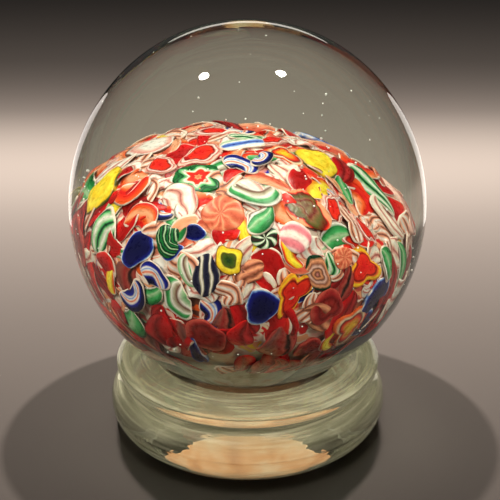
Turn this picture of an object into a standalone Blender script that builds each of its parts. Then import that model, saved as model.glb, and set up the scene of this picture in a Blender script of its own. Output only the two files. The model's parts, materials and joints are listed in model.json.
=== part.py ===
"""A glass paperweight: a clear ball on a two-tier pedestal, with a cushion of patterned canes inside.

Blender 4.5, metres, +Z up. The origin is the middle of the ring that the foot stands on. The body is
made of the pieces that a glassmaker gathers one after another: the canes, the ground that they are
picked up on, the crystal dome over them, the gather that closes the ball and the two pedestal rings.
"""

import math

import bmesh
import bpy
from mathutils import Vector

MM = 0.001
SEGMENTS = 40
GAP = 0.35 * MM

# The ball, a little taller than it is wide.
BALL_RADIUS = 38.0 * MM
BALL_HALF_HEIGHT = 39.4 * MM
BALL_MIDDLE = 51.0 * MM

# The cushion sits a little off the ball's axis, as a hand-made one does, and is flatter on top.
CUSHION_SHIFT = -1.0 * MM
CUSHION_MIDDLE = 45.3 * MM
CUSHION_RADIUS = 23.9 * MM
CUSHION_UP = 16.2 * MM
CUSHION_DOWN = 19.6 * MM

# The plug of the base gather stands in the dome's neck, under the cushion.
NECK_RADIUS = 15.35 * MM
PLUG_RADIUS = 15.0 * MM
DOME_MOUTH = 17.4 * MM
GATHER_FLANGE = 17.1 * MM

# The pedestal: the collar that holds the ball and the wider foot under it.
COLLAR_TOP = 17.1 * MM
COLLAR_SHOULDER = 15.6 * MM
COLLAR_RADIUS = 29.75 * MM
COLLAR_UNDER_RADIUS = 26.6 * MM
COLLAR_UNDER = 12.0 * MM
SPIGOT_RADIUS = 23.4 * MM
SPIGOT_END = 9.05 * MM
SOCKET_RADIUS = 23.75 * MM
SOCKET_FLOOR = 8.75 * MM
FOOT_TOP = 11.7 * MM
FOOT_TOP_RADIUS = 26.6 * MM
FOOT_RADIUS = 31.35 * MM
FOOT_WIDEST = 6.3 * MM
REST_OUTER_RADIUS = 26.0 * MM
REST_INNER_RADIUS = 20.0 * MM
FOOT_HOLLOW = 1.2 * MM

# Shares of the way from the cushion's middle to its surface.
GROUND_SHARE = 0.785
CANE_FLOOR = 0.81
GROUND_SPREAD = (150.0, 157.0)

# A cane's body, from its seat to its face: the share of the cushion, and the share of its outline.
CANE_RINGS = ((CANE_FLOOR, 0.72), (0.87, 1.0), (0.95, 0.93), (1.0, 0.52))
CANE_SIDES = 10
CANE_GAP = 0.45 * MM
CORNER_SHARPNESS = 6

# Base colour, roughness and metallic value of each kind of glass.
GLASSES = {
    "crystal": ((0.86, 0.89, 0.83), 0.02, 0.0),
    "peach_ground": ((0.86, 0.55, 0.38), 0.25, 0.0),
    "amber_wedge": ((0.85, 0.42, 0.08), 0.12, 0.0),
    "blue_ribbon": ((0.22, 0.42, 0.80), 0.12, 0.0),
    "brown_petal": ((0.50, 0.30, 0.25), 0.15, 0.0),
    "cobalt_curl": ((0.04, 0.08, 0.48), 0.12, 0.0),
    "cobalt_lump": ((0.02, 0.03, 0.28), 0.12, 0.0),
    "dark_red_disc": ((0.42, 0.04, 0.04), 0.15, 0.0),
    "green_curl": ((0.25, 0.62, 0.36), 0.12, 0.0),
    "green_petal": ((0.05, 0.40, 0.16), 0.12, 0.0),
    "green_shell": ((0.50, 0.66, 0.52), 0.15, 0.0),
    "mauve_petal": ((0.48, 0.26, 0.28), 0.15, 0.0),
    "orange_disc": ((0.86, 0.26, 0.14), 0.12, 0.0),
    "orange_ribbon": ((0.90, 0.30, 0.12), 0.12, 0.0),
    "pink_ball": ((0.88, 0.50, 0.58), 0.12, 0.0),
    "pink_ribbon": ((0.80, 0.58, 0.55), 0.12, 0.0),
    "pink_shell": ((0.86, 0.68, 0.64), 0.12, 0.0),
    "pinwheel": ((0.60, 0.68, 0.60), 0.12, 0.0),
    "red_lens": ((0.78, 0.03, 0.04), 0.10, 0.0),
    "red_petal": ((0.60, 0.06, 0.06), 0.15, 0.0),
    "red_wedge": ((0.85, 0.08, 0.04), 0.10, 0.0),
    "ringed_cane": ((0.85, 0.68, 0.10), 0.12, 0.0),
    "smoke_disc": ((0.42, 0.22, 0.14), 0.12, 0.0),
    "star_cane": ((0.75, 0.30, 0.20), 0.12, 0.0),
    "striped_oval": ((0.55, 0.56, 0.62), 0.12, 0.0),
    "thread_ball": ((0.12, 0.30, 0.20), 0.12, 0.0),
    "white_lump": ((0.86, 0.82, 0.76), 0.15, 0.0),
    "yellow_lump": ((0.95, 0.74, 0.06), 0.12, 0.0),
}

# Each cane that is set by hand: kind, azimuth and angle from the top in degrees, half length and
# half width in millimetres, and the turn of its length from the horizontal, in degrees.
CANES = (
    ("blue_ribbon", -67, 3, 3.6, 1.5, -8),
    ("cobalt_curl", -61, 15, 2.1, 1.6, 10),
    ("cobalt_curl", -92, 19, 2.8, 2.3, -10),
    ("red_lens", -152, 16, 3.4, 2.2, 87),
    ("amber_wedge", -28, 17, 2.6, 2.0, -82),
    ("yellow_lump", -3, 30, 3.7, 2.8, -45),
    ("white_lump", 158, 33, 3.0, 2.6, 72),
    ("red_lens", -164, 32, 2.8, 1.8, 32),
    ("star_cane", -123, 29, 3.2, 3.2, 0),
    ("green_curl", -81, 35, 3.6, 2.3, -8),
    ("red_petal", 9, 43, 2.8, 2.3, -158),
    ("orange_ribbon", -160, 48, 3.2, 2.1, 54),
    ("pink_shell", -125, 48, 3.7, 2.2, -45),
    ("orange_disc", -100, 48, 3.0, 2.9, 0),
    ("green_petal", -80, 50, 3.3, 1.8, -118),
    ("smoke_disc", -55, 47, 3.9, 3.2, -76),
    ("red_lens", -38, 52, 3.0, 2.3, -85),
    ("yellow_lump", 179, 58, 3.5, 3.0, 130),
    ("orange_ribbon", -141, 60, 3.9, 1.8, 0),
    ("pinwheel", -79, 61, 2.0, 2.0, 0),
    ("pink_ball", -66, 61, 2.4, 2.3, 0),
    ("pink_ribbon", -31, 63, 4.3, 2.2, -88),
    ("thread_ball", -124, 67, 2.6, 2.6, -86),
    ("cobalt_lump", -137, 74, 3.9, 2.3, -112),
    ("green_shell", -159, 75, 3.3, 2.6, -105),
    ("ringed_cane", -95, 74, 2.4, 2.2, -64),
    ("red_lens", -21, 70, 3.4, 1.7, -85),
    ("orange_disc", -45, 79, 1.9, 1.7, -13),
    ("striped_oval", -104, 83, 4.3, 1.9, -83),
    ("brown_petal", -59, 86, 3.4, 2.0, -80),
    ("red_wedge", -34, 88, 4.4, 2.5, -36),
    ("cobalt_curl", -127, 89, 2.9, 2.5, -37),
    ("pink_ribbon", -95, 94, 3.7, 2.2, -62),
    ("red_wedge", -69, 95, 3.9, 2.4, -116),
    ("green_petal", -15, 94, 3.4, 2.4, -75),
    ("green_curl", -116, 99, 4.0, 2.6, -66),
    ("dark_red_disc", 176, 92, 3.8, 3.0, 90),
    ("dark_red_disc", -52, 106, 3.6, 2.4, -53),
    ("cobalt_lump", -82, 102, 3.1, 2.9, 46),
    ("cobalt_curl", -140, 103, 4.2, 2.3, -137),
    ("cobalt_lump", -21, 109, 3.6, 2.6, 20),
    ("red_petal", -91, 120, 3.8, 1.8, -93),
    ("dark_red_disc", -108, 122, 3.7, 3.3, 33),
    ("green_petal", -150, 121, 3.8, 2.9, -133),
    ("mauve_petal", -72, 127, 4.4, 2.8, -88),
    ("red_petal", -129, 124, 3.9, 2.7, -108),
    ("amber_wedge", -32, 124, 4.3, 2.8, -72),
    ("cobalt_lump", 58, 55, 3.4, 2.9, -30),
    ("green_petal", 112, 60, 3.7, 2.7, 60),
    ("red_lens", 28, 84, 3.5, 2.7, 40),
    ("star_cane", 84, 84, 3.4, 3.4, 0),
    ("yellow_lump", 136, 88, 3.4, 2.9, 10),
    ("pink_ribbon", 58, 111, 4.4, 2.7, -20),
    ("orange_disc", 108, 114, 3.5, 3.2, 0),
    ("pink_shell", 6, 115, 3.8, 2.9, 30),
)


def clear_scene():
    """Remove every object that the scene starts with."""
    for thing in list(bpy.data.objects):
        bpy.data.objects.remove(thing)


def glass(name):
    """A Principled material from the table of glasses."""
    colour, roughness, metallic = GLASSES[name]
    material = bpy.data.materials.new(name)
    material.use_nodes = True
    shader = material.node_tree.nodes["Principled BSDF"]
    shader.inputs["Base Color"].default_value = (*colour, 1.0)
    shader.inputs["Roughness"].default_value = roughness
    shader.inputs["Metallic"].default_value = metallic
    return material


def add_body(name, body, material):
    """Turn a closed bmesh into a smooth-shaded object at the origin."""
    bmesh.ops.recalc_face_normals(body, faces=body.faces)
    mesh = bpy.data.meshes.new(name)
    body.to_mesh(mesh)
    body.free()
    mesh.shade_smooth()
    mesh.set_sharp_from_angle(angle=math.radians(40))
    mesh.materials.append(material)
    bpy.context.collection.objects.link(bpy.data.objects.new(name, mesh))


def bridge(body, first, second):
    """Join two closed rings of vertices with faces; a ring of one vertex is a pole."""
    count = max(len(first), len(second))
    for index in range(count):
        after = (index + 1) % count
        if len(first) == 1:
            corners = (first[0], second[index], second[after])
        elif len(second) == 1:
            corners = (first[index], first[after], second[0])
        else:
            corners = (first[index], first[after], second[after], second[index])
        body.faces.new(corners)


def lathe(name, profile, material):
    """Turn a profile of (radius, height, sideways shift), from pole to pole, into one closed body."""
    body = bmesh.new()
    rings = []
    for radius, height, shift in profile:
        ring = []
        for step in range(SEGMENTS if radius > 0.0 else 1):
            angle = 2.0 * math.pi * step / SEGMENTS
            place = (shift + radius * math.cos(angle), radius * math.sin(angle), height)
            ring.append(body.verts.new(place))
        rings.append(ring)
    for first, second in zip(rings, rings[1:]):
        bridge(body, first, second)
    add_body(name, body, material)


def ball_arc(first, last, steps, clearance=0.0):
    """Profile points on the ball between two angles from its top, in degrees."""
    points = []
    for step in range(steps + 1):
        angle = math.radians(first + (last - first) * step / steps)
        radius = (BALL_RADIUS + clearance) * math.sin(angle)
        height = BALL_MIDDLE + (BALL_HALF_HEIGHT + clearance) * math.cos(angle)
        points.append((0.0 if angle in (0.0, math.pi) else radius, height, 0.0))
    return points


def cushion_arc(first, last, steps, share=1.0, clearance=0.0):
    """Profile points on the cushion, shrunk to a share of its size and grown by a clearance."""
    points = []
    for step in range(steps + 1):
        angle = math.radians(first + (last - first) * step / steps)
        half = CUSHION_UP if math.cos(angle) > 0.0 else CUSHION_DOWN
        radius = (CUSHION_RADIUS * share + clearance) * math.sin(angle)
        height = CUSHION_MIDDLE + (half * share + clearance) * math.cos(angle)
        points.append((0.0 if angle in (0.0, math.pi) else radius, height, CUSHION_SHIFT))
    return points


def ball_angle(height, clearance=0.0):
    """The angle from the ball's top, in degrees, of a height on its lower half."""
    return math.degrees(math.acos((height - BALL_MIDDLE) / (BALL_HALF_HEIGHT + clearance)))


def cushion_angle(radius, clearance):
    """The angle from the cushion's top, in degrees, of a radius on its lower half."""
    return 180.0 - math.degrees(math.asin(radius / (CUSHION_RADIUS + clearance)))


def quarter_turn(start, end, steps, steep_first):
    """Points of a quarter ellipse between two (radius, height) points, leaving out its start."""
    points = []
    for step in range(1, steps + 1):
        angle = 0.5 * math.pi * step / steps
        rise, run = math.sin(angle), 1.0 - math.cos(angle)
        across, along = (run, rise) if steep_first else (rise, run)
        radius = start[0] + (end[0] - start[0]) * across
        height = start[1] + (end[1] - start[1]) * along
        points.append((radius, height, 0.0))
    return points


def crystal_dome(material):
    """The clear overlay: the ball's outside down to its mouth, then the neck and the cushion's room."""
    outside = ball_arc(0.0, ball_angle(DOME_MOUTH), 18)
    neck = (NECK_RADIUS, DOME_MOUTH, CUSHION_SHIFT)
    room = cushion_arc(0.0, cushion_angle(NECK_RADIUS, GAP), 14, clearance=GAP)
    lathe("crystal_dome", outside + [neck] + room[::-1], material)


def base_gather(material):
    """The gather that closes the ball: a plug under the cushion and the ball's lowest part."""
    seat = cushion_arc(180.0, cushion_angle(PLUG_RADIUS, GAP), 5, clearance=GAP)
    step = (PLUG_RADIUS, GATHER_FLANGE, CUSHION_SHIFT)
    underside = ball_arc(ball_angle(GATHER_FLANGE), 180.0, 7)
    lathe("base_gather", seat + [step] + underside, material)


def pedestal_collar(material):
    """The upper ring: a dish that follows the ball, a rolled shoulder, and a spigot that fills the foot."""
    lip_angle = ball_angle(COLLAR_TOP - 0.2 * MM, GAP)
    dish = ball_arc(180.0, lip_angle, 6, clearance=GAP)
    lip = (dish[-1][0] + 1.4 * MM, COLLAR_TOP)
    shoulder = (COLLAR_RADIUS, COLLAR_SHOULDER)
    under = (COLLAR_UNDER_RADIUS, COLLAR_UNDER)
    crown = quarter_turn(lip, shoulder, 5, steep_first=False)
    side = quarter_turn(shoulder, under, 3, steep_first=True)
    spigot = [(SPIGOT_RADIUS, COLLAR_UNDER, 0.0), (SPIGOT_RADIUS, SPIGOT_END, 0.0), (0.0, SPIGOT_END, 0.0)]
    profile = dish + [(*lip, 0.0)] + crown + side + spigot
    lathe("pedestal_collar", profile, material)


def pedestal_foot(material):
    """The wider lower ring: a socket for the spigot, rounded outside, hollowed inside its rest ring."""
    top = (FOOT_TOP_RADIUS, FOOT_TOP)
    widest = (FOOT_RADIUS, FOOT_WIDEST)
    rest = (REST_OUTER_RADIUS, 0.0)
    side = quarter_turn(top, widest, 5, steep_first=False) + quarter_turn(widest, rest, 4, True)
    hollow = quarter_turn((REST_INNER_RADIUS, 0.0), (0.0, FOOT_HOLLOW), 4, steep_first=True)
    ring = [(REST_INNER_RADIUS, 0.0, 0.0)]
    socket = [(0.0, SOCKET_FLOOR, 0.0), (SOCKET_RADIUS, SOCKET_FLOOR, 0.0), (SOCKET_RADIUS, FOOT_TOP, 0.0)]
    profile = socket + [(*top, 0.0)] + side + ring + hollow
    lathe("pedestal_foot", profile, material)


def cushion_ground(material):
    """The opaque pad under the canes, which spreads to the cushion's full size at its bottom."""
    narrow, wide = GROUND_SPREAD
    pad = cushion_arc(0.0, narrow, 10, share=GROUND_SHARE)
    base = cushion_arc(wide, 180.0, 2)
    lathe("cushion_ground", pad + base, material)


def on_cushion(direction):
    """Scale a vector from the cushion's middle so that it ends on the cushion's surface."""
    half = CUSHION_UP if direction.z > 0.0 else CUSHION_DOWN
    flat = (direction.x**2 + direction.y**2) / CUSHION_RADIUS**2
    return direction / math.sqrt(flat + (direction.z / half) ** 2)


def cane_seat(azimuth, polar):
    """The point of the cushion's surface under a cane's middle, from the cushion's middle."""
    around, down = math.radians(azimuth), math.radians(polar)
    half = CUSHION_UP if math.cos(down) > 0.0 else CUSHION_DOWN
    flat = CUSHION_RADIUS * math.sin(down)
    return Vector((flat * math.cos(around), flat * math.sin(around), half * math.cos(down)))


def cane_axes(azimuth, polar):
    """Two unit vectors in the cushion's surface at a seat: level, and up the cushion."""
    around = math.radians(azimuth)
    level = Vector((-math.sin(around), math.cos(around), 0.0))
    return level, cane_seat(azimuth, polar).normalized().cross(level)


def own_reach(cane, direction):
    """How far a cane's ellipse reaches from its middle along a direction, with no neighbours."""
    _, azimuth, polar, length, width, turn = cane
    level, rise = cane_axes(azimuth, polar)
    angle = math.atan2(direction.dot(rise), direction.dot(level)) - math.radians(turn)
    across = math.hypot(width * math.cos(angle), length * math.sin(angle))
    return length * width / across * MM


def fence(cane, other):
    """The outward normal of the plane, through the cushion's middle, that parts two canes."""
    here, there = cane_seat(cane[1], cane[2]), cane_seat(other[1], other[2])
    across = there - here
    mine = own_reach(cane, across)
    share = mine / (mine + own_reach(other, -across))
    border = here + share * across
    return (across - border * (across.dot(border) / border.length_squared)).normalized()


def cane_outline(cane):
    """Points round a cane: its ellipse, softly cut back where a neighbour's fence is nearer."""
    seat = cane_seat(cane[1], cane[2])
    level, rise = cane_axes(cane[1], cane[2])
    fences = [fence(cane, other) for other in CANES if other is not cane]
    outline = []
    for step in range(CANE_SIDES):
        angle = 2.0 * math.pi * step / CANE_SIDES
        direction = level * math.cos(angle) + rise * math.sin(angle)
        limits = [own_reach(cane, direction)]
        for normal in fences:
            towards = normal.dot(direction)
            if towards > 0.0:
                limits.append((-0.5 * CANE_GAP - normal.dot(seat)) / towards)
        closeness = sum(limit**-CORNER_SHARPNESS for limit in limits)
        outline.append(direction * closeness ** (-1.0 / CORNER_SHARPNESS))
    return outline


def cane_body(name, cane, material):
    """One slice of cane, a rounded pebble that tapers towards the cushion's middle."""
    middle = Vector((CUSHION_SHIFT, 0.0, CUSHION_MIDDLE))
    seat = cane_seat(cane[1], cane[2])
    outline = cane_outline(cane)
    body = bmesh.new()
    rings = [[body.verts.new(middle + CANE_FLOOR * seat)]]
    for share, spread in CANE_RINGS:
        places = [middle + share * on_cushion(seat + spread * offset) for offset in outline]
        rings.append([body.verts.new(place) for place in places])
    rings.append([body.verts.new(middle + seat)])
    for first, second in zip(rings, rings[1:]):
        bridge(body, first, second)
    add_body(name, body, material)


def build():
    """Model the paperweight, from the outside inwards."""
    clear_scene()
    materials = {name: glass(name) for name in GLASSES}
    for make in (crystal_dome, base_gather, pedestal_collar, pedestal_foot):
        make(materials["crystal"])
    cushion_ground(materials["peach_ground"])
    made = {}
    for cane in CANES:
        kind = cane[0]
        made[kind] = made.get(kind, 0) + 1
        cane_body(f"{kind}_{made[kind]}", cane, materials[kind])


build()
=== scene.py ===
# %% [markdown]
# # A scrambled-cane paperweight in glass
#
# The object is a clear glass ball on a pedestal of two rolled rings. Inside the ball sits a domed
# cushion of patterned glass canes, picked up at random on opaque glass. The solid model gives the
# main sizes and places. This lesson gives each piece its real surface: one body of fused clear glass,
# pillows and folded ribbons of coloured cane, the chips between them and the seed bubbles.

# %% Load the solid model
import json
import math

import bpy
import numpy as np
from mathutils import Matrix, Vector

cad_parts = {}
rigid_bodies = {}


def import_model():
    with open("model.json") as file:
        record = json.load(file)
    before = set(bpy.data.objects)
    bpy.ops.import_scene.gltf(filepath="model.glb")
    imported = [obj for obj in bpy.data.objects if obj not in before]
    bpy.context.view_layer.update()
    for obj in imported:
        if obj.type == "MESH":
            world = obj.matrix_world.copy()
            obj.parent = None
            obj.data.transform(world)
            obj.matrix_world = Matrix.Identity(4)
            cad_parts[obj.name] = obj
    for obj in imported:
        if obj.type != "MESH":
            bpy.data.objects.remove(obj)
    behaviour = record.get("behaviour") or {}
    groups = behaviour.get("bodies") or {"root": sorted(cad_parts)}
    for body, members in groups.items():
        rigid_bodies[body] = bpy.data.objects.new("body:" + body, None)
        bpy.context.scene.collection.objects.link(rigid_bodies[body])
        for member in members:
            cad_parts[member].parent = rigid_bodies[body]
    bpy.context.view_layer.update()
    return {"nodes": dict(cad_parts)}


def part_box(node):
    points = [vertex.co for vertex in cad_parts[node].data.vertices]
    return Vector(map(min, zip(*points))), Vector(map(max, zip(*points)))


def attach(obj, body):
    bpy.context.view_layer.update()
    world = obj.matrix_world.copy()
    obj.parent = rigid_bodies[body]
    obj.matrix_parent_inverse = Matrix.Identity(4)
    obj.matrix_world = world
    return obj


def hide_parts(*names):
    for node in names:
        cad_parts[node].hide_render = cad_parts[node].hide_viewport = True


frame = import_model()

MM = 0.001

# %% [markdown]
# ## Sizes from the solid model
#
# A piece of glass is only convincing when what it encloses stands in the right place, because the
# ball works as a lens. So the ball, the rings and the cushion are all measured on the solid nodes here.
# Further down, only the pedestal's finer outline and the pieces that have no solid, such as the chips,
# the peach pad and the bubbles, have sizes and places of their own.

# %% Measure the glass body
dome_low, dome_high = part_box("crystal_dome")
gather_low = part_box("base_gather")[0]
collar_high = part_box("pedestal_collar")[1]
foot_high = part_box("pedestal_foot")[1]
ball_radius = 0.5 * (dome_high.x - dome_low.x)
ball_middle = 0.5 * (dome_high.z + gather_low.z)
ball_half_height = 0.5 * (dome_high.z - gather_low.z)
collar_radius = collar_high.x
foot_radius = foot_high.x
print(f"ball {2000 * ball_radius:.1f} mm wide, {2000 * ball_half_height:.1f} mm tall")


# %% Measure the cushion
def node_points(name):
    """The vertices of a solid node as an array of points."""
    mesh = frame["nodes"][name].data
    points = np.empty(3 * len(mesh.vertices), np.float32)
    mesh.vertices.foreach_get("co", points)
    return points.reshape(-1, 3).astype(float)


GROUND_SHARE = 0.785
ground_points = node_points("cushion_ground")
cushion_shift = 0.5 * (ground_points[:, 0].max() + ground_points[:, 0].min())
ground_radius = ground_points[:, 0].max() - cushion_shift
widest = np.abs(ground_points[:, 0] - cushion_shift) > 0.999 * ground_radius
cushion_middle = np.array([cushion_shift, 0.0, ground_points[widest, 2].mean()])
cushion_radius = ground_radius / GROUND_SHARE
cushion_up = (ground_points[:, 2].max() - cushion_middle[2]) / GROUND_SHARE
cushion_down = cushion_middle[2] - ground_points[:, 2].min()
print("cushion middle", cushion_middle.round(4), "radius", round(cushion_radius, 4))


# %% [markdown]
# ## Camera
#
# The camera looks a little down on the object, from far enough away that the ball keeps its round
# outline. A long lens does that. Depth of field stays off.

# %% Camera
VIEW_DISTANCE = 5.655 * ball_radius
VIEW_RISE = 19.88
VIEW_PITCH = 22.4
VIEW_YAW = 0.15
LENS = 71.7

rise = math.radians(VIEW_RISE)
camera_data = bpy.data.cameras.new("camera")
camera_data.lens = LENS
camera_data.clip_start = 0.01
camera = bpy.data.objects.new("camera", camera_data)
camera.location = (
    0.0,
    -VIEW_DISTANCE * math.cos(rise),
    ball_middle + VIEW_DISTANCE * math.sin(rise),
)
camera.rotation_euler = (math.radians(90.0 - VIEW_PITCH), 0.0, math.radians(-VIEW_YAW))
bpy.context.scene.collection.objects.link(camera)
bpy.context.scene.camera = camera
bpy.context.scene.view_settings.view_transform = "Standard"
print("camera at", [round(value, 4) for value in camera.location])

# %% [markdown]
# ## Tools for shader trees
#
# Every material below is a small tree of nodes. Three helpers keep them short: one adds a node and
# fills its sockets, one does arithmetic, and one makes a colour ramp from a list of stops.


# %% Shader helpers
def add_node(tree, kind, **sockets):
    """Add a node; each keyword names an input socket, with _ for a space, and gives a value or a link."""
    node = tree.nodes.new(kind)
    for name, value in sockets.items():
        fill(tree, node.inputs[name.replace("_", " ")], value)
    return node


def fill(tree, socket, value):
    """Link a socket into an input, or set the input to a plain value."""
    if isinstance(value, bpy.types.NodeSocket):
        tree.links.new(value, socket)
    else:
        socket.default_value = value


def calc(tree, operation, *values, clamp=False):
    """Arithmetic on numbers or sockets, with a Math node."""
    node = tree.nodes.new("ShaderNodeMath")
    node.operation = operation
    node.use_clamp = clamp
    for socket, value in zip(node.inputs, values):
        fill(tree, socket, value)
    return node.outputs[0]


def ramp(tree, value, stops, interpolation="LINEAR"):
    """A colour ramp over a value, from (place, colour) stops."""
    node = tree.nodes.new("ShaderNodeValToRGB")
    node.color_ramp.interpolation = interpolation
    elements = node.color_ramp.elements
    while len(elements) < len(stops):
        elements.new(1.0)
    for element, (place, colour) in zip(elements, stops):
        element.position = place
        element.color = (*colour, 1.0)
    tree.links.new(value, node.inputs[0])
    return node.outputs[0]


def mix_colour(tree, share, first, second, blend="MIX"):
    """Blend two colours by a share."""
    node = tree.nodes.new("ShaderNodeMix")
    node.data_type = "RGBA"
    node.blend_type = blend
    for name, value in (("Factor_Float", share), ("A_Color", first), ("B_Color", second)):
        socket = next(s for s in node.inputs if s.identifier == name)
        fill(tree, socket, (*value, 1.0) if isinstance(value, tuple) else value)
    return next(s for s in node.outputs if s.identifier == "Result_Color")


def axis_distance(tree, apart):
    """The distance from the z axis of a place that is split into x, y and z: the root of x^2 + y^2."""
    squares = [calc(tree, "POWER", apart.outputs[axis], 2.0) for axis in ("X", "Y")]
    return calc(tree, "SQRT", calc(tree, "ADD", *squares))


def new_material(name):
    """An empty node material with its Principled shader and its output."""
    material = bpy.data.materials.new(name)
    material.use_nodes = True
    tree = material.node_tree
    return material, tree, tree.nodes["Principled BSDF"], tree.nodes["Material Output"]


print("shader helpers ready")

# %% [markdown]
# ## Studio: floor and light
#
# Clear glass has no colour of its own: it shows the room, bent. The floor is one wide sheet of paper
# with light and shade painted on it: painted shade in front of the object, a painted band of light
# behind it and painted shade at the back, so that the ball has something to bend.
#
# The light is arranged for the look and is not physical. Two lamps light the object, and two others,
# closer together, light only the floor and cast its two shadows. The panels and strips light only the
# object, and the world lights no dull surface.

# %% Floor
FLOOR_HALF_WIDTH = 1.6
FLOOR_FRONT, FLOOR_BACK = -0.9, 2.4
TONE_START, TONE_END = -0.2, 0.8
# One warm paper. Its brightness at places along Y, in metres, is painted light and shade: painted
# shade in front, a painted band of light behind the ball, and painted shade at the back.
PAPER = (1.0, 0.84, 0.74)
PAINTED_FLOOR_LIGHT = (
    (-0.05, 0.04), (0.05, 0.12), (0.13, 0.22), (0.20, 0.45), (0.28, 0.10), (0.40, 0.05), (0.70, 0.015),
)
PAPER_ROUGHNESS, PAPER_SHINE = 0.45, 0.1
FLOOR_POINTS = 9


def floor_sheet():
    """A flat grid under the object: x and y run evenly, and z is zero."""
    across = np.linspace(-FLOOR_HALF_WIDTH, FLOOR_HALF_WIDTH, FLOOR_POINTS)
    along = np.linspace(FLOOR_FRONT, FLOOR_BACK, FLOOR_POINTS)
    x, y = np.meshgrid(across, along)
    points = np.stack([x, y, np.zeros_like(x)], -1).reshape(-1, 3)
    cells = np.arange(FLOOR_POINTS - 1)
    corner = (cells[:, None] * FLOOR_POINTS + cells).reshape(-1)
    behind = corner + FLOOR_POINTS
    quads = np.stack([corner, corner + 1, behind + 1, behind], -1)
    mesh = bpy.data.meshes.new("floor")
    mesh.from_pydata(points.tolist(), [], quads.tolist())
    floor = bpy.data.objects.new("floor", mesh)
    bpy.context.scene.collection.objects.link(floor)
    return floor


floor = floor_sheet()
paper, tree, shader, _ = new_material("floor_paper")
place = add_node(tree, "ShaderNodeTexCoord").outputs["Object"]
along = add_node(tree, "ShaderNodeSeparateXYZ", Vector=place).outputs["Y"]
depth = add_node(
    tree, "ShaderNodeMapRange", Value=along, From_Min=TONE_START, From_Max=TONE_END
).outputs["Result"]
# The ramp paints light and shade on the floor along Y, from the steps above.
painted_tones = tuple(
    ((along_y - TONE_START) / (TONE_END - TONE_START), tuple(bright * part for part in PAPER))
    for along_y, bright in PAINTED_FLOOR_LIGHT
)
fill(tree, shader.inputs["Base Color"], ramp(tree, depth, painted_tones, "B_SPLINE"))
shader.inputs["Roughness"].default_value = PAPER_ROUGHNESS
shader.inputs["Specular IOR Level"].default_value = PAPER_SHINE
floor.data.materials.append(paper)
print("floor", len(floor.data.polygons), "faces")

# %% Lights
LIGHTS = (
    # name, direction from the ball, distance, radii, power, colour, seen in the glass, what it lights
    ("lamp_left", (-0.335, 0.20, 0.91), 0.62, (0.026, 0.026), 2.35, (1.0, 0.96, 0.91), True, "object"),
    ("lamp_right", (0.258, 0.20, 0.93), 0.62, (0.026, 0.026), 2.35, (1.0, 0.96, 0.91), True, "object"),
    ("shade_left", (-0.235, 0.14, 0.96), 0.62, (0.010, 0.010), 6.0, (1.0, 0.96, 0.91), False, "floor"),
    ("shade_right", (0.220, 0.14, 0.96), 0.62, (0.010, 0.010), 6.0, (1.0, 0.96, 0.91), False, "floor"),
    ("panel_left", (-0.70, -0.58, 0.42), 0.60, (0.12, 0.12), 2.5, (1.0, 0.95, 0.90), False, "object"),
    ("panel_right", (0.66, -0.62, 0.42), 0.60, (0.12, 0.12), 2.3, (1.0, 0.95, 0.90), False, "object"),
    ("strip_left", (-0.60, 0.77, -0.10), 0.15, (0.026, 0.045), 0.014, (1.0, 0.90, 0.84), True, "object"),
    ("strip_right", (0.60, 0.77, -0.10), 0.15, (0.026, 0.045), 0.014, (1.0, 0.94, 0.86), True, "object"),
    ("strip_top", (0.0, 0.96, 0.27), 0.60, (0.18, 0.03), 0.08, (1.0, 0.94, 0.84), True, "object"),
)
WORLD_COLOUR, WORLD_STRENGTH = (0.85, 0.83, 0.80, 1.0), 0.06
ball_centre = Vector((0.0, 0.0, ball_middle))
for name, direction, distance, radii, power, colour, seen, _ in LIGHTS:
    light = bpy.data.lights.new(name, "AREA")
    light.shape = "ELLIPSE"
    light.size, light.size_y = 2.0 * radii[0], 2.0 * radii[1]
    light.energy = power
    light.color = colour
    holder = bpy.data.objects.new(name, light)
    holder.location = ball_centre + distance * Vector(direction).normalized()
    holder.rotation_euler = (ball_centre - holder.location).to_track_quat("-Z", "Y").to_euler()
    holder.visible_glossy = seen
    holder.visible_transmission = False
    holder.visible_camera = False
    bpy.context.scene.collection.objects.link(holder)

world = bpy.data.worlds.new("studio")
world.use_nodes = True
world.node_tree.nodes["Background"].inputs["Color"].default_value = WORLD_COLOUR
world.node_tree.nodes["Background"].inputs["Strength"].default_value = WORLD_STRENGTH
bpy.context.scene.world = world
world.cycles_visibility.diffuse = False
print(len(LIGHTS), "lights")

# %% [markdown]
# ## Closed skins from grids
#
# Nearly every new piece here is one closed skin: rings of points from one pole to the other. A function of two
# parameters gives all the points at once, as an array of rings, and this builder adds the two poles,
# makes the faces and turns them outwards. Many small skins can be put into one mesh the same way.


# %% Skin builder
def skin_faces(rows, sides):
    """Quads between neighbouring rings, and triangles at both poles, of one skin."""
    row, side = np.meshgrid(np.arange(rows - 1), np.arange(sides), indexing="ij")
    after = (side + 1) % sides
    start = 1 + row * sides
    quads = np.stack([start + side, start + after, start + sides + after, start + sides + side], -1)
    ring, turn = np.arange(sides), (np.arange(sides) + 1) % sides
    last = 1 + (rows - 1) * sides
    top = np.stack([np.zeros(sides, int), 1 + turn, 1 + ring], -1)
    bottom = np.stack([np.full(sides, last + sides), last + ring, last + turn], -1)
    return quads.reshape(-1, 4), np.concatenate([top, bottom])


def unit_rings(down, around):
    """Unit vectors (sin a cos t, sin a sin t, cos a) from angles a from the top and t round the axis."""
    return np.stack(
        np.broadcast_arrays(np.sin(down) * np.cos(around), np.sin(down) * np.sin(around), np.cos(down)), -1
    )


def with_poles(rings):
    """Rings of values as one list, with the mean of the first and last ring as the poles."""
    flat = rings.reshape(-1, rings.shape[-1])
    return np.concatenate([rings[:1].mean(1), flat, rings[-1:].mean(1)])


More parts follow.
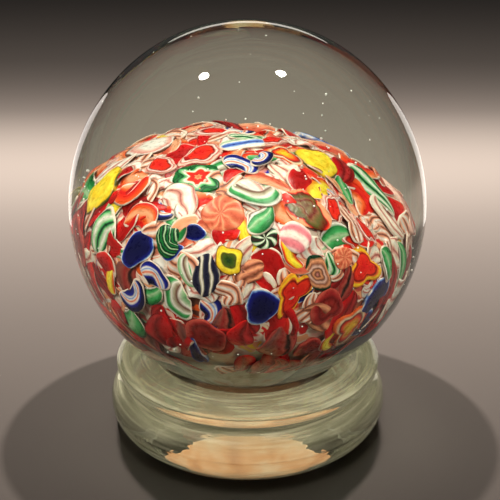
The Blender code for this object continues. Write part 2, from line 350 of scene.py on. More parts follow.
def skin_volume(points, quads, triangles):
    """Six times the volume that the faces enclose, negative where they point inwards."""
    split = np.concatenate([quads[:, [0, 1, 2]], quads[:, [0, 2, 3]], triangles])
    a, b, c = (points[split[:, corner]] for corner in range(3))
    return np.einsum("ij,ij->", a, np.cross(b, c))


def join_skins(name, skins):
    """One object from several skins, each a dict of rings, uv rings and a seed number."""
    points, uvs, seeds, quads, triangles, base = [], [], [], [], [], 0
    for one in skins:
        place, flat = with_poles(one["rings"]), with_poles(one["uv"])
        four, three = skin_faces(*one["rings"].shape[:2])
        if skin_volume(place - place.mean(0), four, three) < 0.0:
            four, three = four[:, ::-1], three[:, ::-1]
        points.append(place)
        uvs.append(flat)
        seeds.append(np.full(len(place), one["seed"]))
        quads.append(four + base)
        triangles.append(three + base)
        base += len(place)
    return make_object(
        name,
        np.concatenate(points),
        np.concatenate(quads),
        np.concatenate(triangles),
        np.concatenate(uvs),
        np.concatenate(seeds),
    )


def make_object(name, points, quads, triangles, uv=None, seeds=None):
    """Put arrays of points and faces into a smooth mesh object at the origin."""
    mesh = bpy.data.meshes.new(name)
    corners = np.concatenate([quads.reshape(-1), triangles.reshape(-1)]).astype(np.int32)
    starts = np.concatenate(
        [np.arange(len(quads)) * 4, 4 * len(quads) + np.arange(len(triangles)) * 3]
    ).astype(np.int32)
    mesh.vertices.add(len(points))
    mesh.vertices.foreach_set("co", points.astype(np.float32).reshape(-1))
    mesh.loops.add(len(corners))
    mesh.loops.foreach_set("vertex_index", corners)
    mesh.polygons.add(len(starts))
    mesh.polygons.foreach_set("loop_start", starts)
    mesh.update(calc_edges=True)
    mesh.shade_smooth()
    if uv is not None:
        layer = mesh.uv_layers.new(name="face")
        layer.data.foreach_set("uv", uv[corners].astype(np.float32).reshape(-1))
    if seeds is not None:
        attribute = mesh.attributes.new("seed", "FLOAT", "POINT")
        attribute.data.foreach_set("value", seeds.astype(np.float32))
    mesh.validate()
    thing = bpy.data.objects.new(name, mesh)
    bpy.context.scene.collection.objects.link(thing)
    return thing


def settle(thing, material, slot, *nodes):
    """Give a finished piece its material, its body and the nodes it stands for. The slot is not used."""
    thing.data.materials.append(material)
    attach(thing, "root")
    if nodes:
        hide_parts(*nodes)
    return thing


print("skin builder ready")

# %% [markdown]
# ## The clear glass body
#
# The dome, the base gather, the collar and the foot are worked hot, so on the finished object they are
# one piece of glass with no seams between them. Four solids with gaps would show as four lenses. So
# the visible body is one profile turned round the axis: the ball's arc down to the crease, the rolled
# collar, the groove, and the foot with its flat rest ring.


# %% Profile of the glass body
def ellipse_arc(middle, radii, first, last, count):
    """Points (radius, height) on an ellipse, angles in degrees from straight up."""
    angle = np.radians(np.linspace(first, last, count))
    return np.stack([middle[0] + radii[0] * np.sin(angle), middle[1] + radii[1] * np.cos(angle)], -1)


CREASE_DROP, LIP_WIDTH = 0.1 * MM, 1.2 * MM
COLLAR_SHOULDER = 15.6 * MM
FOOT_WIDEST = 6.3 * MM
GROOVE_RADIUS, GROOVE_RISE, GROOVE_STEP = 26.0 * MM, 0.15 * MM, 0.3 * MM
REST_OUTER, REST_INNER = 26.0 * MM, 20.0 * MM
HOLLOW_RISE = 1.2 * MM

crease_height = collar_high.z - CREASE_DROP
crease_angle = math.degrees(math.acos((crease_height - ball_middle) / ball_half_height))
crease_radius = ball_radius * math.sin(math.radians(crease_angle))
ball_part = ellipse_arc((0.0, ball_middle), (ball_radius, ball_half_height), 1.0, crease_angle, 120)
lip_radius = crease_radius + LIP_WIDTH
crown_part = ellipse_arc(
    (lip_radius, COLLAR_SHOULDER),
    (collar_radius - lip_radius, collar_high.z - COLLAR_SHOULDER),
    2.0, 90.0, 22,
)
groove_height = foot_high.z + GROOVE_RISE
collar_side = ellipse_arc(
    (GROOVE_RADIUS, COLLAR_SHOULDER),
    (collar_radius - GROOVE_RADIUS, COLLAR_SHOULDER - groove_height),
    90.0, 172.0, 18,
)
foot_crown = ellipse_arc(
    (GROOVE_RADIUS + GROOVE_STEP, FOOT_WIDEST),
    (foot_radius - GROOVE_RADIUS - GROOVE_STEP, groove_height - FOOT_WIDEST),
    6.0, 90.0, 22,
)
foot_side = ellipse_arc(
    (REST_OUTER, FOOT_WIDEST), (foot_radius - REST_OUTER, FOOT_WIDEST), 90.0, 180.0, 16
)
hollow = ellipse_arc((0.0, 0.0), (REST_INNER, HOLLOW_RISE), 90.0, 1.0, 26)
profile = np.concatenate([ball_part, crown_part, collar_side, foot_crown, foot_side, hollow])
profile[:, 1] = np.maximum(profile[:, 1], 0.0)
print("profile points", len(profile))

# %% Turn the glass body
BODY_SIDES = 160


def turned(profile, sides):
    """Rings of a turned body: radius r and height z become (r cos t, r sin t, z) round the axis."""
    turn = np.linspace(0.0, 2.0 * math.pi, sides, endpoint=False)
    radius, height = profile[:, :1], profile[:, 1:]
    return np.stack(
        [radius * np.cos(turn), radius * np.sin(turn), np.broadcast_to(height, (len(profile), sides))], -1
    )


body_rings = turned(profile, BODY_SIDES)
body_uv = np.stack(
    np.broadcast_arrays(
        np.linspace(0.0, 1.0, BODY_SIDES)[None, :], np.linspace(0.0, 1.0, len(profile))[:, None]
    ),
    -1,
)
glass_body = join_skins("glass_body", [{"rings": body_rings, "uv": body_uv, "seed": 0.5}])
glass_body.data.set_sharp_from_angle(angle=math.radians(38))
print("glass body", len(glass_body.data.polygons), "faces")

# %% [markdown]
# ## Clear glass
#
# Lamps light what is inside a real ball by focusing through it, which takes very long to work out. So
# shadow rays go straight through here, while the camera still sees true refraction. A shadow ray keeps
# only a few hundredths of its light where it enters the glass, which makes the floor's shadows dark. It
# is brightened by a fifth where it leaves, more than real glass does, so that the canes stand out. Long
# faint ripples stand for the marks that a wooden block and wet paper leave on hot glass.

# %% Clear glass material
GLASS_IOR = 1.5
RING_SCALE, RING_PULL, RING_STRENGTH = 60.0, 14.0, 0.4
RIPPLE_STRETCH, RIPPLE_STRENGTH = (60.0, 60.0, 420.0), 0.05
SURFACE_BUMP = 0.0002
GLASS_COLOUR = (1.0, 1.0, 0.90, 1.0)
ENTERING_SHADE = (0.03, 0.03, 0.025)
LEAVING_SHADE = (1.20, 1.20, 1.12)
GLASS_DENSITY, GLASS_TINT = 46.0, (0.80, 0.83, 0.825, 1.0)
crystal, tree, shader, output = new_material("crystal")
place = add_node(tree, "ShaderNodeTexCoord").outputs["Object"]
stretched = add_node(tree, "ShaderNodeMapping", Vector=place, Scale=RIPPLE_STRETCH).outputs[0]
ripple = add_node(tree, "ShaderNodeTexNoise", Vector=stretched, Scale=1.0, Detail=2.0).outputs["Fac"]
apart = add_node(tree, "ShaderNodeSeparateXYZ", Vector=place)
pulled = calc(tree, "MULTIPLY", axis_distance(tree, apart), RING_PULL)
ring_place = add_node(tree, "ShaderNodeCombineXYZ", X=pulled, Z=apart.outputs["Z"])
rings = add_node(tree, "ShaderNodeTexNoise", Vector=ring_place.outputs[0], Scale=RING_SCALE, Detail=2.0)
low = add_node(
    tree, "ShaderNodeMapRange", Value=apart.outputs["Z"], From_Min=COLLAR_SHOULDER, From_Max=collar_high.z
)
mask = calc(tree, "SUBTRACT", 1.0, low.outputs["Result"])
tooled = calc(tree, "MULTIPLY", rings.outputs["Fac"], mask)
height = calc(tree, "MULTIPLY_ADD", tooled, RING_STRENGTH, calc(tree, "MULTIPLY", ripple, RIPPLE_STRENGTH))
bump = add_node(tree, "ShaderNodeBump", Strength=1.0, Distance=SURFACE_BUMP, Height=height)
shader.inputs["Base Color"].default_value = GLASS_COLOUR
shader.inputs["Roughness"].default_value = 0.0
shader.inputs["IOR"].default_value = GLASS_IOR
shader.inputs["Transmission Weight"].default_value = 1.0
tree.links.new(bump.outputs[0], shader.inputs["Normal"])
rays = add_node(tree, "ShaderNodeLightPath").outputs["Is Shadow Ray"]
leaving = add_node(tree, "ShaderNodeNewGeometry").outputs["Backfacing"]
dimming = mix_colour(tree, leaving, ENTERING_SHADE, LEAVING_SHADE)
through = add_node(tree, "ShaderNodeBsdfTransparent", Color=dimming)
switch = tree.nodes.new("ShaderNodeMixShader")
tree.links.new(rays, switch.inputs[0])
tree.links.new(shader.outputs[0], switch.inputs[1])
tree.links.new(through.outputs[0], switch.inputs[2])
tree.links.new(switch.outputs[0], output.inputs["Surface"])
body = add_node(tree, "ShaderNodeVolumeAbsorption", Color=GLASS_TINT, Density=GLASS_DENSITY)
tree.links.new(body.outputs[0], output.inputs["Volume"])
settle(glass_body, crystal, "crystal", "crystal_dome", "base_gather", "pedestal_collar", "pedestal_foot")
print("clear glass, index", GLASS_IOR)

# %% [markdown]
# ## Laying flat shapes on the cushion
#
# A cane slice is easiest to draw flat: so far along its length, so far across, so high. Each drawing is
# then laid on the cushion at its seat, turned, and wrapped round the dome towards the cushion's middle,
# as the soft slices wrapped themselves when the hot glass was pressed over them.


# %% From flat to cushion
CUSHION_LUMPS = (
    # azimuth and angle from the top in degrees, swell as a share of the radius, width in degrees
    (-8, 66, -0.19, 22),
    (42, 50, -0.055, 22),
    (84, 28, -0.075, 9),
    (118, 24, 0.02, 12),
    (-40, 105, 0.02, 20),
)
FLOW = 0.18 * MM
FLOW_PITCH = 650.0
flow_waves = np.random.default_rng(5).normal(0.0, 1.0, (3, 3, 3)) * FLOW_PITCH


def towards(azimuth, polar):
    """The unit vector at an azimuth and an angle from the top, in radians."""
    return np.array(
        [math.sin(polar) * math.cos(azimuth), math.sin(polar) * math.sin(azimuth), math.cos(polar)]
    )


def on_cushion(direction):
    """Scale vectors from the cushion's middle to end on its surface: two half ellipsoids, plus lumps."""
    half = np.where(direction[..., 2] > 0.0, cushion_up, cushion_down)
    flat = (direction[..., 0] ** 2 + direction[..., 1] ** 2) / cushion_radius**2
    surface = direction / np.sqrt(flat + (direction[..., 2] / half) ** 2)[..., None]
    unit = direction / np.linalg.norm(direction, axis=-1, keepdims=True)
    swell = np.ones(unit.shape[:-1])
    for around, down, share, width in CUSHION_LUMPS:
        around, down, width = math.radians(around), math.radians(down), math.radians(width)
        swell += share * np.exp(-(1.0 - unit @ towards(around, down)) / (0.5 * width**2))
    return surface * swell[..., None]


def flow(points):
    """Sideways pushes, as in soft glass: for each axis the sum of three sine waves of the place."""
    return FLOW * np.sin(np.einsum("...k,wka->...wa", points, flow_waves)).sum(-2)


def seat_axes(seat):
    """Two unit vectors in the surface at a seat: level, and up the cushion."""
    level = np.array([-seat[1], seat[0], 0.0]) / (math.hypot(seat[0], seat[1]) + 1e-9)
    return level, np.cross(seat / np.linalg.norm(seat), level)


def lay(seat, turn, along, across, lift):
    """Seat + along and across in the turned tangent plane, projected to the surface, then lifted."""
    level, rise = seat_axes(seat)
    forward = math.cos(turn) * level + math.sin(turn) * rise
    sideways = math.cos(turn) * rise - math.sin(turn) * level
    offset = along[..., None] * forward + across[..., None] * sideways
    surface = on_cushion(seat + offset + flow(seat + offset) - flow(seat))
    reach = np.linalg.norm(surface, axis=-1, keepdims=True)
    return cushion_middle + surface * (1.0 + lift[..., None] / reach)


def seat_at(azimuth, polar):
    """The surface point at an azimuth and an angle from the top, in radians."""
    return on_cushion(towards(azimuth, polar))


print("flat shapes can be laid on the cushion")


# %% Measure every cane of the solid model
def measure_cane(name):
    """Seat, turn, half length and half width of a solid cane, from its spread on the surface."""
    surface = on_cushion(node_points(name) - cushion_middle)
    seat = on_cushion(surface.mean(0))
    level, rise = seat_axes(seat)
    flat = np.stack([(surface - seat) @ level, (surface - seat) @ rise], -1)
    values, vectors = np.linalg.eigh(np.cov(flat.T))
    main = vectors[:, np.argmax(values)]
    along = flat @ main
    across = flat @ np.array([-main[1], main[0]])
    return {
        "seat": seat,
        "turn": math.atan2(main[1], main[0]),
        "length": 0.5 * (along.max() - along.min()),
        "width": 0.5 * (across.max() - across.min()),
    }


body_nodes = {"crystal_dome", "base_gather", "pedestal_collar", "pedestal_foot", "cushion_ground"}
cane_names = sorted(name for name in frame["nodes"] if name not in body_nodes)
solid_canes = {name: measure_cane(name) for name in cane_names}
print(len(solid_canes), "solid canes measured")

# %% [markdown]
# ## Two kinds of cane shape
#
# A slice that fell flat shows its round end: a pillow, drawn from its outline. A slice that fell on its
# side, or was pulled by the tools, is a ribbon: a strip with a rounded section that runs along a bent
# line. Both come out as closed rings, and both carry a flat face map from -1 to 1 for their pattern.


# %% Pillow
RELIEF = 0.27
OUTLINE = (0.08, 0.07, 0.05, 0.04)
FULLNESS, UNDERSIDE, TILT = 0.4, 1.2, 0.06


def pillow(seat, turn, length, width, rng, corners=0, notch=0.0, dome=1.0, rough=1.0, lift=0.0,
           rows=11, sides=32):
    """Outline radius = ellipse, plus corners and a little chance; height = dome cos a, radius = sin a^0.4."""
    around = np.linspace(0.0, 2.0 * math.pi, sides, endpoint=False)
    down = math.pi * (np.arange(rows) + 0.6) / (rows + 0.2)
    chance = sum(
        rough * size * np.sin(lobes * around + rng.uniform(0.0, 6.0))
        for lobes, size in enumerate(OUTLINE, start=2)
    )
    edge = 1.0 + chance + notch * np.cos(corners * around + math.pi * (corners == 3))
    spread = np.sin(down)[:, None] ** FULLNESS
    along = length * spread * edge * np.cos(around)
    across = width * spread * edge * np.sin(around)
    height = np.where(np.cos(down) > 0.0, RELIEF * dome, UNDERSIDE) * np.cos(down) * MM
    tilt = rng.normal(0.0, TILT, 2)
    rings = lay(seat, turn, along, across, lift + height[:, None] + tilt[0] * along + tilt[1] * across)
    face = np.stack([spread * np.cos(around), spread * np.sin(around)], -1)
    return {"rings": rings, "uv": face, "seed": rng.uniform()}


def ribbon(seat, turn, length, width, rng, bend=0.0, wave=0.0, fan=0.0, roll=0.3, tip=5.0, slim=1.0, lift=0.0,
           rows=28, sides=12):
    """The middle line's heading is bend s + wave sin(pi s); the section is a flat oval that rolls."""
    step = np.linspace(-1.0, 1.0, rows)
    heading = bend * step + wave * np.sin(math.pi * step)
    line = np.cumsum(np.stack([np.cos(heading), np.sin(heading)], -1), 0)
    line = (line - line.mean(0)) * 2.0 * length / rows
    side = np.stack([-np.sin(heading), np.cos(heading)], -1)
    round_section = np.linspace(0.0, 2.0 * math.pi, sides, endpoint=False)
    ends = np.sqrt(np.clip(1.0 - np.abs(step) ** tip, 0.01, 1.0))
    half = slim * width * ends * (1.0 + fan * step)
    reach = half[:, None] * np.cos(round_section)
    flat = line[:, None, :] + reach[..., None] * side[:, None, :]
    lean = 0.5 * roll * np.sin(1.7 * step + rng.uniform(0.0, 6.0))
    height = RELIEF * MM * ends[:, None] * np.sin(round_section) + lean[:, None] * reach
    rings = lay(seat, turn, flat[..., 0], flat[..., 1], lift + height)
    face = np.stack(np.broadcast_arrays(step[:, None], np.cos(round_section)), -1)
    return {"rings": rings, "uv": face, "seed": rng.uniform()}


print("pillows and ribbons")

# %% [markdown]
# ## Cane patterns
#
# A cane is built up in rings and stripes before it is pulled, so one short tree can colour them all. A
# shared node group reads the flat face map, bends it a little by noise and puts out five plain values:
# the distance from the middle, the place across the stripes, the place between spokes, the nearness to
# the rim, and a fine noise. Each kind of cane sends one of the first three through its own colour ramp.


# %% Pattern group
SEED_SPREAD, SLOW_SCALE, FINE_SCALE = 37.0, 1.3, 4.0


def pattern_group():
    """The shared values of a face map (u, v) whose distance is r and whose angle is a.

    Ring = r (1 + depth cos(lobes a)), Band = repeat (v + bend u^2) + shift, Spoke = lobes a / 2 pi +
    twist r, Rim = the fourth root of u^4 + v^4, and Drift = fine noise.
    """
    tree = bpy.data.node_groups.new("cane_pattern", "ShaderNodeTree")
    for name, kind in (
        ("Face", "NodeSocketVector"), ("Seed", "NodeSocketFloat"), ("Wobble", "NodeSocketFloat"),
        ("Lobes", "NodeSocketFloat"), ("Depth", "NodeSocketFloat"), ("Bend", "NodeSocketFloat"),
        ("Repeat", "NodeSocketFloat"), ("Twist", "NodeSocketFloat"), ("Shift", "NodeSocketFloat"),
    ):
        tree.interface.new_socket(name, in_out="INPUT", socket_type=kind)
    for name in ("Ring", "Band", "Spoke", "Rim", "Drift"):
        tree.interface.new_socket(name, in_out="OUTPUT", socket_type="NodeSocketFloat")
    given = tree.nodes.new("NodeGroupInput").outputs
    result = tree.nodes.new("NodeGroupOutput").inputs
    apart = add_node(tree, "ShaderNodeSeparateXYZ", Vector=given["Face"])
    far = calc(tree, "MULTIPLY", given["Seed"], SEED_SPREAD)
    spot = add_node(tree, "ShaderNodeCombineXYZ", X=apart.outputs["X"], Y=apart.outputs["Y"], Z=far)
    chance = add_node(tree, "ShaderNodeTexNoise", Vector=spot.outputs[0], Scale=SLOW_SCALE, Detail=2.0)
    push = add_node(tree, "ShaderNodeSeparateColor", Color=chance.outputs["Color"])
    moved = []
    for axis, colour in (("X", "Red"), ("Y", "Green")):
        offset = calc(tree, "SUBTRACT", push.outputs[colour], 0.5)
        moved.append(calc(tree, "MULTIPLY_ADD", offset, given["Wobble"], apart.outputs[axis]))
    u, v = moved
    squares = [calc(tree, "MULTIPLY", value, value) for value in moved]
    distance = calc(tree, "SQRT", calc(tree, "ADD", *squares))
    angle = calc(tree, "ARCTAN2", v, u)
    lobed = calc(tree, "COSINE", calc(tree, "MULTIPLY", angle, given["Lobes"]))
    swell = calc(tree, "MULTIPLY_ADD", lobed, given["Depth"], 1.0)
    tree.links.new(calc(tree, "MULTIPLY", distance, swell), result["Ring"])
    curved = calc(tree, "MULTIPLY_ADD", calc(tree, "MULTIPLY", u, u), given["Bend"], v)
    half = calc(tree, "MULTIPLY_ADD", curved, 0.5, 0.5)
    shift = calc(tree, "MULTIPLY", given["Seed"], given["Shift"])
    repeated = calc(tree, "MULTIPLY_ADD", half, given["Repeat"], shift)
    tree.links.new(calc(tree, "PINGPONG", repeated, 1.0), result["Band"])
    turns = calc(tree, "MULTIPLY", angle, calc(tree, "MULTIPLY", given["Lobes"], 0.5 / math.pi))
    spun = calc(tree, "MULTIPLY_ADD", distance, given["Twist"], turns)
    tree.links.new(calc(tree, "PINGPONG", calc(tree, "MULTIPLY", spun, 2.0), 1.0), result["Spoke"])
    fourth = calc(tree, "ADD", calc(tree, "POWER", calc(tree, "ABSOLUTE", u), 4.0),
                  calc(tree, "POWER", calc(tree, "ABSOLUTE", v), 4.0))
    tree.links.new(calc(tree, "POWER", fourth, 0.25), result["Rim"])
    fine = add_node(tree, "ShaderNodeTexNoise", Vector=spot.outputs[0], Scale=FINE_SCALE, Detail=3.0)
    tree.links.new(fine.outputs["Fac"], result["Drift"])
    return tree


cane_pattern = pattern_group()
print("pattern group with", len(cane_pattern.nodes), "nodes")

# %% Glass colours
WHITE = (0.86, 0.79, 0.72)
CREAM = (0.84, 0.64, 0.42)
BLUSH = (0.82, 0.50, 0.41)
PINK = (0.72, 0.26, 0.22)
ROSE = (0.52, 0.07, 0.05)
RED = (0.68, 0.008, 0.010)
SCARLET = (0.82, 0.03, 0.012)
DARK_RED = (0.16, 0.004, 0.004)
ORANGE = (0.84, 0.12, 0.02)
PEACH = (0.84, 0.34, 0.17)
AMBER = (0.80, 0.30, 0.02)
YELLOW = (0.92, 0.58, 0.02)
LEMON = (0.94, 0.78, 0.06)
OLIVE = (0.10, 0.10, 0.02)
BROWN = (0.15, 0.045, 0.025)
UMBER = (0.03, 0.012, 0.010)
PALE_GREEN = (0.38, 0.56, 0.32)
LEAF = (0.06, 0.38, 0.11)
GREEN = (0.010, 0.17, 0.035)
BOTTLE = (0.004, 0.035, 0.015)
SKY = (0.18, 0.34, 0.76)
COBALT = (0.008, 0.018, 0.30)
NAVY = (0.003, 0.004, 0.04)
MAUVE = (0.17, 0.055, 0.05)
GREY = (0.46, 0.40, 0.28)
CASING = (0.88, 0.70, 0.58)
UNCASED = ("red_petal", "mauve_petal", "brown_fold", "pink_ball", "thread_ball", "striped_oval")

# Each kind: the value it reads, how that value is made, and its ramp from the middle or one side.
PATTERNS = {
    "star_cane": ("Ring", {"Lobes": 6.0, "Depth": -0.20, "Wobble": 0.08}, (
        (0.0, ORANGE), (0.12, PEACH), (0.16, RED), (0.40, SCARLET), (0.44, CREAM), (0.50, WHITE),
        (0.56, PALE_GREEN), (0.66, LEAF), (0.74, BOTTLE), (0.84, GREEN), (0.92, BOTTLE), (1.0, GREEN))),
    "red_lens": ("Ring", {"Wobble": 0.45}, (
        (0.0, RED), (0.56, SCARLET), (0.66, DARK_RED), (0.71, PINK), (0.78, WHITE), (0.86, ROSE),
        (0.95, BLUSH))),
    "red_wedge": ("Ring", {"Wobble": 0.35}, (
        (0.0, RED), (0.60, SCARLET), (0.70, DARK_RED), (0.77, ORANGE), (0.86, YELLOW), (0.95, AMBER))),
    "amber_wedge": ("Ring", {"Wobble": 0.40}, (
        (0.0, YELLOW), (0.40, AMBER), (0.58, SCARLET), (0.70, DARK_RED), (0.80, CREAM), (0.94, ORANGE))),
    "yellow_lump": ("Ring", {"Wobble": 0.50}, (
        (0.0, LEMON), (0.45, YELLOW), (0.60, LEMON), (0.88, YELLOW), (0.97, OLIVE))),
    "white_lump": ("Ring", {"Wobble": 0.60}, (
        (0.0, WHITE), (0.50, WHITE), (0.66, BLUSH), (0.80, PINK), (0.90, WHITE), (0.97, BROWN))),
    "orange_disc": ("Spoke", {"Lobes": 9.0, "Twist": 0.5, "Wobble": 0.35}, (
        (0.0, (0.62, 0.10, 0.05)), (0.5, (0.74, 0.16, 0.08)), (0.85, (0.82, 0.28, 0.15)), (1.0, PEACH))),
    "smoke_disc": ("Ring", {"Wobble": 1.1, "Lobes": 3.0, "Depth": 0.2}, (
        (0.0, BROWN), (0.22, (0.20, 0.13, 0.05)), (0.38, DARK_RED), (0.48, (0.26, 0.10, 0.04)),
        (0.66, OLIVE), (0.80, DARK_RED), (0.88, SCARLET), (0.96, PEACH))),
    "cobalt_lump": ("Ring", {"Wobble": 0.35}, (
        (0.0, NAVY), (0.66, (0.003, 0.004, 0.06)), (0.88, (0.006, 0.010, 0.20)), (0.95, SKY),
        (0.99, WHITE))),
    "cobalt_curl": ("Band", {"Repeat": 1.0, "Wobble": 0.15}, (
        (0.0, NAVY), (0.24, COBALT), (0.32, WHITE), (0.38, SKY), (0.45, WHITE), (0.52, ORANGE),
        (0.60, WHITE), (0.68, COBALT), (0.80, NAVY))),
    "blue_ribbon": ("Band", {"Repeat": 1.0, "Wobble": 0.10}, (
        (0.0, WHITE), (0.18, PALE_GREEN), (0.30, WHITE), (0.40, SKY), (0.56, COBALT), (0.66, SKY),
        (0.78, WHITE))),
    "green_petal": ("Band", {"Repeat": 1.0, "Bend": 0.3, "Wobble": 0.35}, (
        (0.0, BOTTLE), (0.16, GREEN), (0.36, LEAF), (0.52, PALE_GREEN), (0.62, LEAF), (0.78, GREEN),
        (0.86, WHITE), (0.94, BROWN))),
    "green_curl": ("Band", {"Repeat": 1.0, "Wobble": 0.22}, (
        (0.0, LEAF), (0.18, PALE_GREEN), (0.28, WHITE), (0.38, BROWN), (0.50, GREY), (0.60, WHITE),
        (0.70, LEAF), (0.84, GREEN), (0.94, WHITE))),
    "green_shell": ("Band", {"Repeat": 5.0, "Bend": 0.4, "Wobble": 0.30}, (
        (0.0, WHITE), (0.45, PALE_GREEN), (0.68, LEAF), (0.90, BOTTLE))),
    "pink_ribbon": ("Band", {"Repeat": 6.0, "Wobble": 0.35}, (
        (0.0, WHITE), (0.42, BLUSH), (0.60, PEACH), (0.78, (0.50, 0.16, 0.11)), (0.98, BROWN))),
    "pink_shell": ("Band", {"Repeat": 6.0, "Shift": 0.8, "Bend": 0.6, "Wobble": 0.45}, (
        (0.0, WHITE), (0.50, WHITE), (0.68, BLUSH), (0.86, PINK), (0.99, (0.40, 0.12, 0.09)))),
    "pink_ball": ("Band", {"Repeat": 4.0, "Bend": -0.5, "Wobble": 0.15}, (
        (0.0, (0.92, 0.80, 0.72)), (0.40, (0.90, 0.62, 0.58)), (0.62, (0.80, 0.26, 0.30)),
        (0.95, (0.76, 0.18, 0.22)))),
    "pinwheel": ("Spoke", {"Lobes": 6.0, "Twist": 0.7, "Wobble": 0.12}, (
        (0.0, WHITE), (0.34, PALE_GREEN), (0.52, BOTTLE), (0.90, UMBER))),
    "thread_ball": ("Band", {"Repeat": 9.0, "Bend": 0.5, "Wobble": 0.35}, (
        (0.0, GREEN), (0.40, BOTTLE), (0.70, BOTTLE), (0.92, PALE_GREEN))),
    "striped_oval": ("Band", {"Repeat": 6.0, "Bend": 0.0, "Wobble": 0.22}, (
        (0.0, WHITE), (0.22, GREY), (0.42, (0.03, 0.03, 0.06)), (0.85, (0.01, 0.01, 0.03)))),
    "ringed_cane": ("Ring", {"Wobble": 0.16}, (
        (0.0, BOTTLE), (0.30, (0.05, 0.10, 0.01)), (0.50, OLIVE), (0.58, LEMON), (0.86, YELLOW),
        (0.96, BROWN))),
    "brown_petal": ("Ring", {"Wobble": 0.35, "Lobes": 2.0, "Depth": 0.1}, (
        (0.0, PINK), (0.18, BROWN), (0.30, PEACH), (0.44, BROWN), (0.56, BLUSH), (0.70, (0.28, 0.09, 0.05)),
        (0.84, PEACH), (0.96, BOTTLE))),
    "mauve_petal": ("Band", {"Repeat": 2.0, "Shift": 0.8, "Bend": 0.7, "Wobble": 0.5}, (
        (0.0, MAUVE), (0.30, (0.30, 0.07, 0.05)), (0.55, (0.34, 0.02, 0.02)),
        (0.78, (0.42, 0.07, 0.05)), (0.95, UMBER))),
    "dark_red_disc": ("Ring", {"Wobble": 0.6}, (
        (0.0, DARK_RED), (0.35, (0.34, 0.02, 0.015)), (0.62, DARK_RED), (0.84, (0.40, 0.02, 0.02)),
        (0.96, ROSE))),
    "red_petal": ("Band", {"Repeat": 1.0, "Shift": 0.8, "Bend": 0.2, "Wobble": 0.6}, (
        (0.0, ORANGE), (0.10, SCARLET), (0.25, RED), (0.60, (0.50, 0.006, 0.008)), (0.82, DARK_RED),
        (0.97, (0.42, 0.02, 0.02)))),
    "orange_ribbon": ("Band", {"Repeat": 1.0, "Shift": 0.8, "Wobble": 0.45}, (
        (0.0, PEACH), (0.14, ORANGE), (0.40, SCARLET), (0.64, RED), (0.80, ORANGE), (0.94, PEACH))),
    # Kinds that only the chips use.
    "yellow_fold": ("Band", {"Repeat": 1.0, "Bend": 0.3, "Wobble": 0.3}, (
        (0.0, UMBER), (0.14, SCARLET), (0.26, YELLOW), (0.60, LEMON), (0.78, AMBER), (0.90, SCARLET))),
    "peach_fold": ("Band", {"Repeat": 2.0, "Shift": 0.8, "Bend": 0.5, "Wobble": 0.7}, (
        (0.0, PEACH), (0.35, (0.86, 0.40, 0.24)), (0.60, (0.80, 0.22, 0.12)), (0.84, (0.62, 0.09, 0.05)))),
    "brown_fold": ("Band", {"Repeat": 5.0, "Shift": 0.8, "Bend": 0.4, "Wobble": 0.6}, (
        (0.0, BROWN), (0.30, (0.36, 0.10, 0.05)), (0.58, (0.60, 0.20, 0.12)), (0.90, PEACH))),
    "milk_fold": ("Band", {"Repeat": 5.0, "Shift": 0.8, "Bend": -0.4, "Wobble": 0.5}, (
        (0.0, WHITE), (0.50, (0.88, 0.72, 0.54)), (0.66, BLUSH), (0.84, PINK), (0.96, (0.40, 0.12, 0.09)))),
    "scarlet_fold": ("Band", {"Repeat": 1.0, "Shift": 0.8, "Bend": 0.4, "Wobble": 0.5}, (
        (0.0, YELLOW), (0.10, ORANGE), (0.20, SCARLET), (0.60, RED), (0.86, (0.42, 0.008, 0.008)))),
}
# The record's slot of each kind that has no solid of its own.
CHIP_SLOTS = {
    "yellow_fold": "amber_wedge",
    "peach_fold": "pink_shell",
    "brown_fold": "brown_petal",
    "milk_fold": "white_lump",
    "scarlet_fold": "red_wedge",
}
print(len(PATTERNS), "kinds of cane")


# %% Cane material
NONE, FULL = (0.0, 0.0, 0.0), (1.0, 1.0, 1.0)
CASING_STOPS = ((0.89, NONE), (0.96, FULL))
SHADE_STOPS = ((0.30, (0.78, 0.74, 0.72)), (0.60, FULL))
LEAST_ROUGHNESS, ROUGHNESS_SPREAD = 0.15, 0.3
CANE_BUMP, CANE_BUMP_STRENGTH, CANE_SHINE = 0.0003, 0.3, 0.25


def cane_material(kind):
    """Coloured glass for one kind: its pattern through a ramp, lightened and darkened by slow noise."""
    reads, values, stops = PATTERNS[kind]
    material, tree, shader, _ = new_material(kind)
    face = tree.nodes.new("ShaderNodeUVMap")
    face.uv_map = "face"
    seed = tree.nodes.new("ShaderNodeAttribute")
    seed.attribute_name = "seed"
    pattern = tree.nodes.new("ShaderNodeGroup")
    pattern.node_tree = cane_pattern
    fill(tree, pattern.inputs["Face"], face.outputs["UV"])
    fill(tree, pattern.inputs["Seed"], seed.outputs["Fac"])
    for name in ("Wobble", "Lobes", "Depth", "Bend", "Repeat", "Twist", "Shift"):
        pattern.inputs[name].default_value = values.get(name, 0.0)
    colour = ramp(tree, pattern.outputs[reads], stops)
    if reads == "Band" and kind not in UNCASED:
        casing = ramp(tree, pattern.outputs["Rim"], CASING_STOPS)
        colour = mix_colour(tree, casing, colour, CASING)
    shade = ramp(tree, pattern.outputs["Drift"], SHADE_STOPS)
    fill(tree, shader.inputs["Base Color"], mix_colour(tree, 1.0, colour, shade, "MULTIPLY"))
    drift = pattern.outputs["Drift"]
    roughness = calc(tree, "MULTIPLY_ADD", drift, ROUGHNESS_SPREAD, LEAST_ROUGHNESS)
    fill(tree, shader.inputs["Roughness"], roughness)
    bump = add_node(tree, "ShaderNodeBump", Strength=CANE_BUMP_STRENGTH, Distance=CANE_BUMP, Height=drift)
    tree.links.new(bump.outputs[0], shader.inputs["Normal"])
    shader.inputs["Specular IOR Level"].default_value = CANE_SHINE
    return material


cane_glass = {kind: cane_material(kind) for kind in PATTERNS}
print(len(cane_glass), "cane materials")

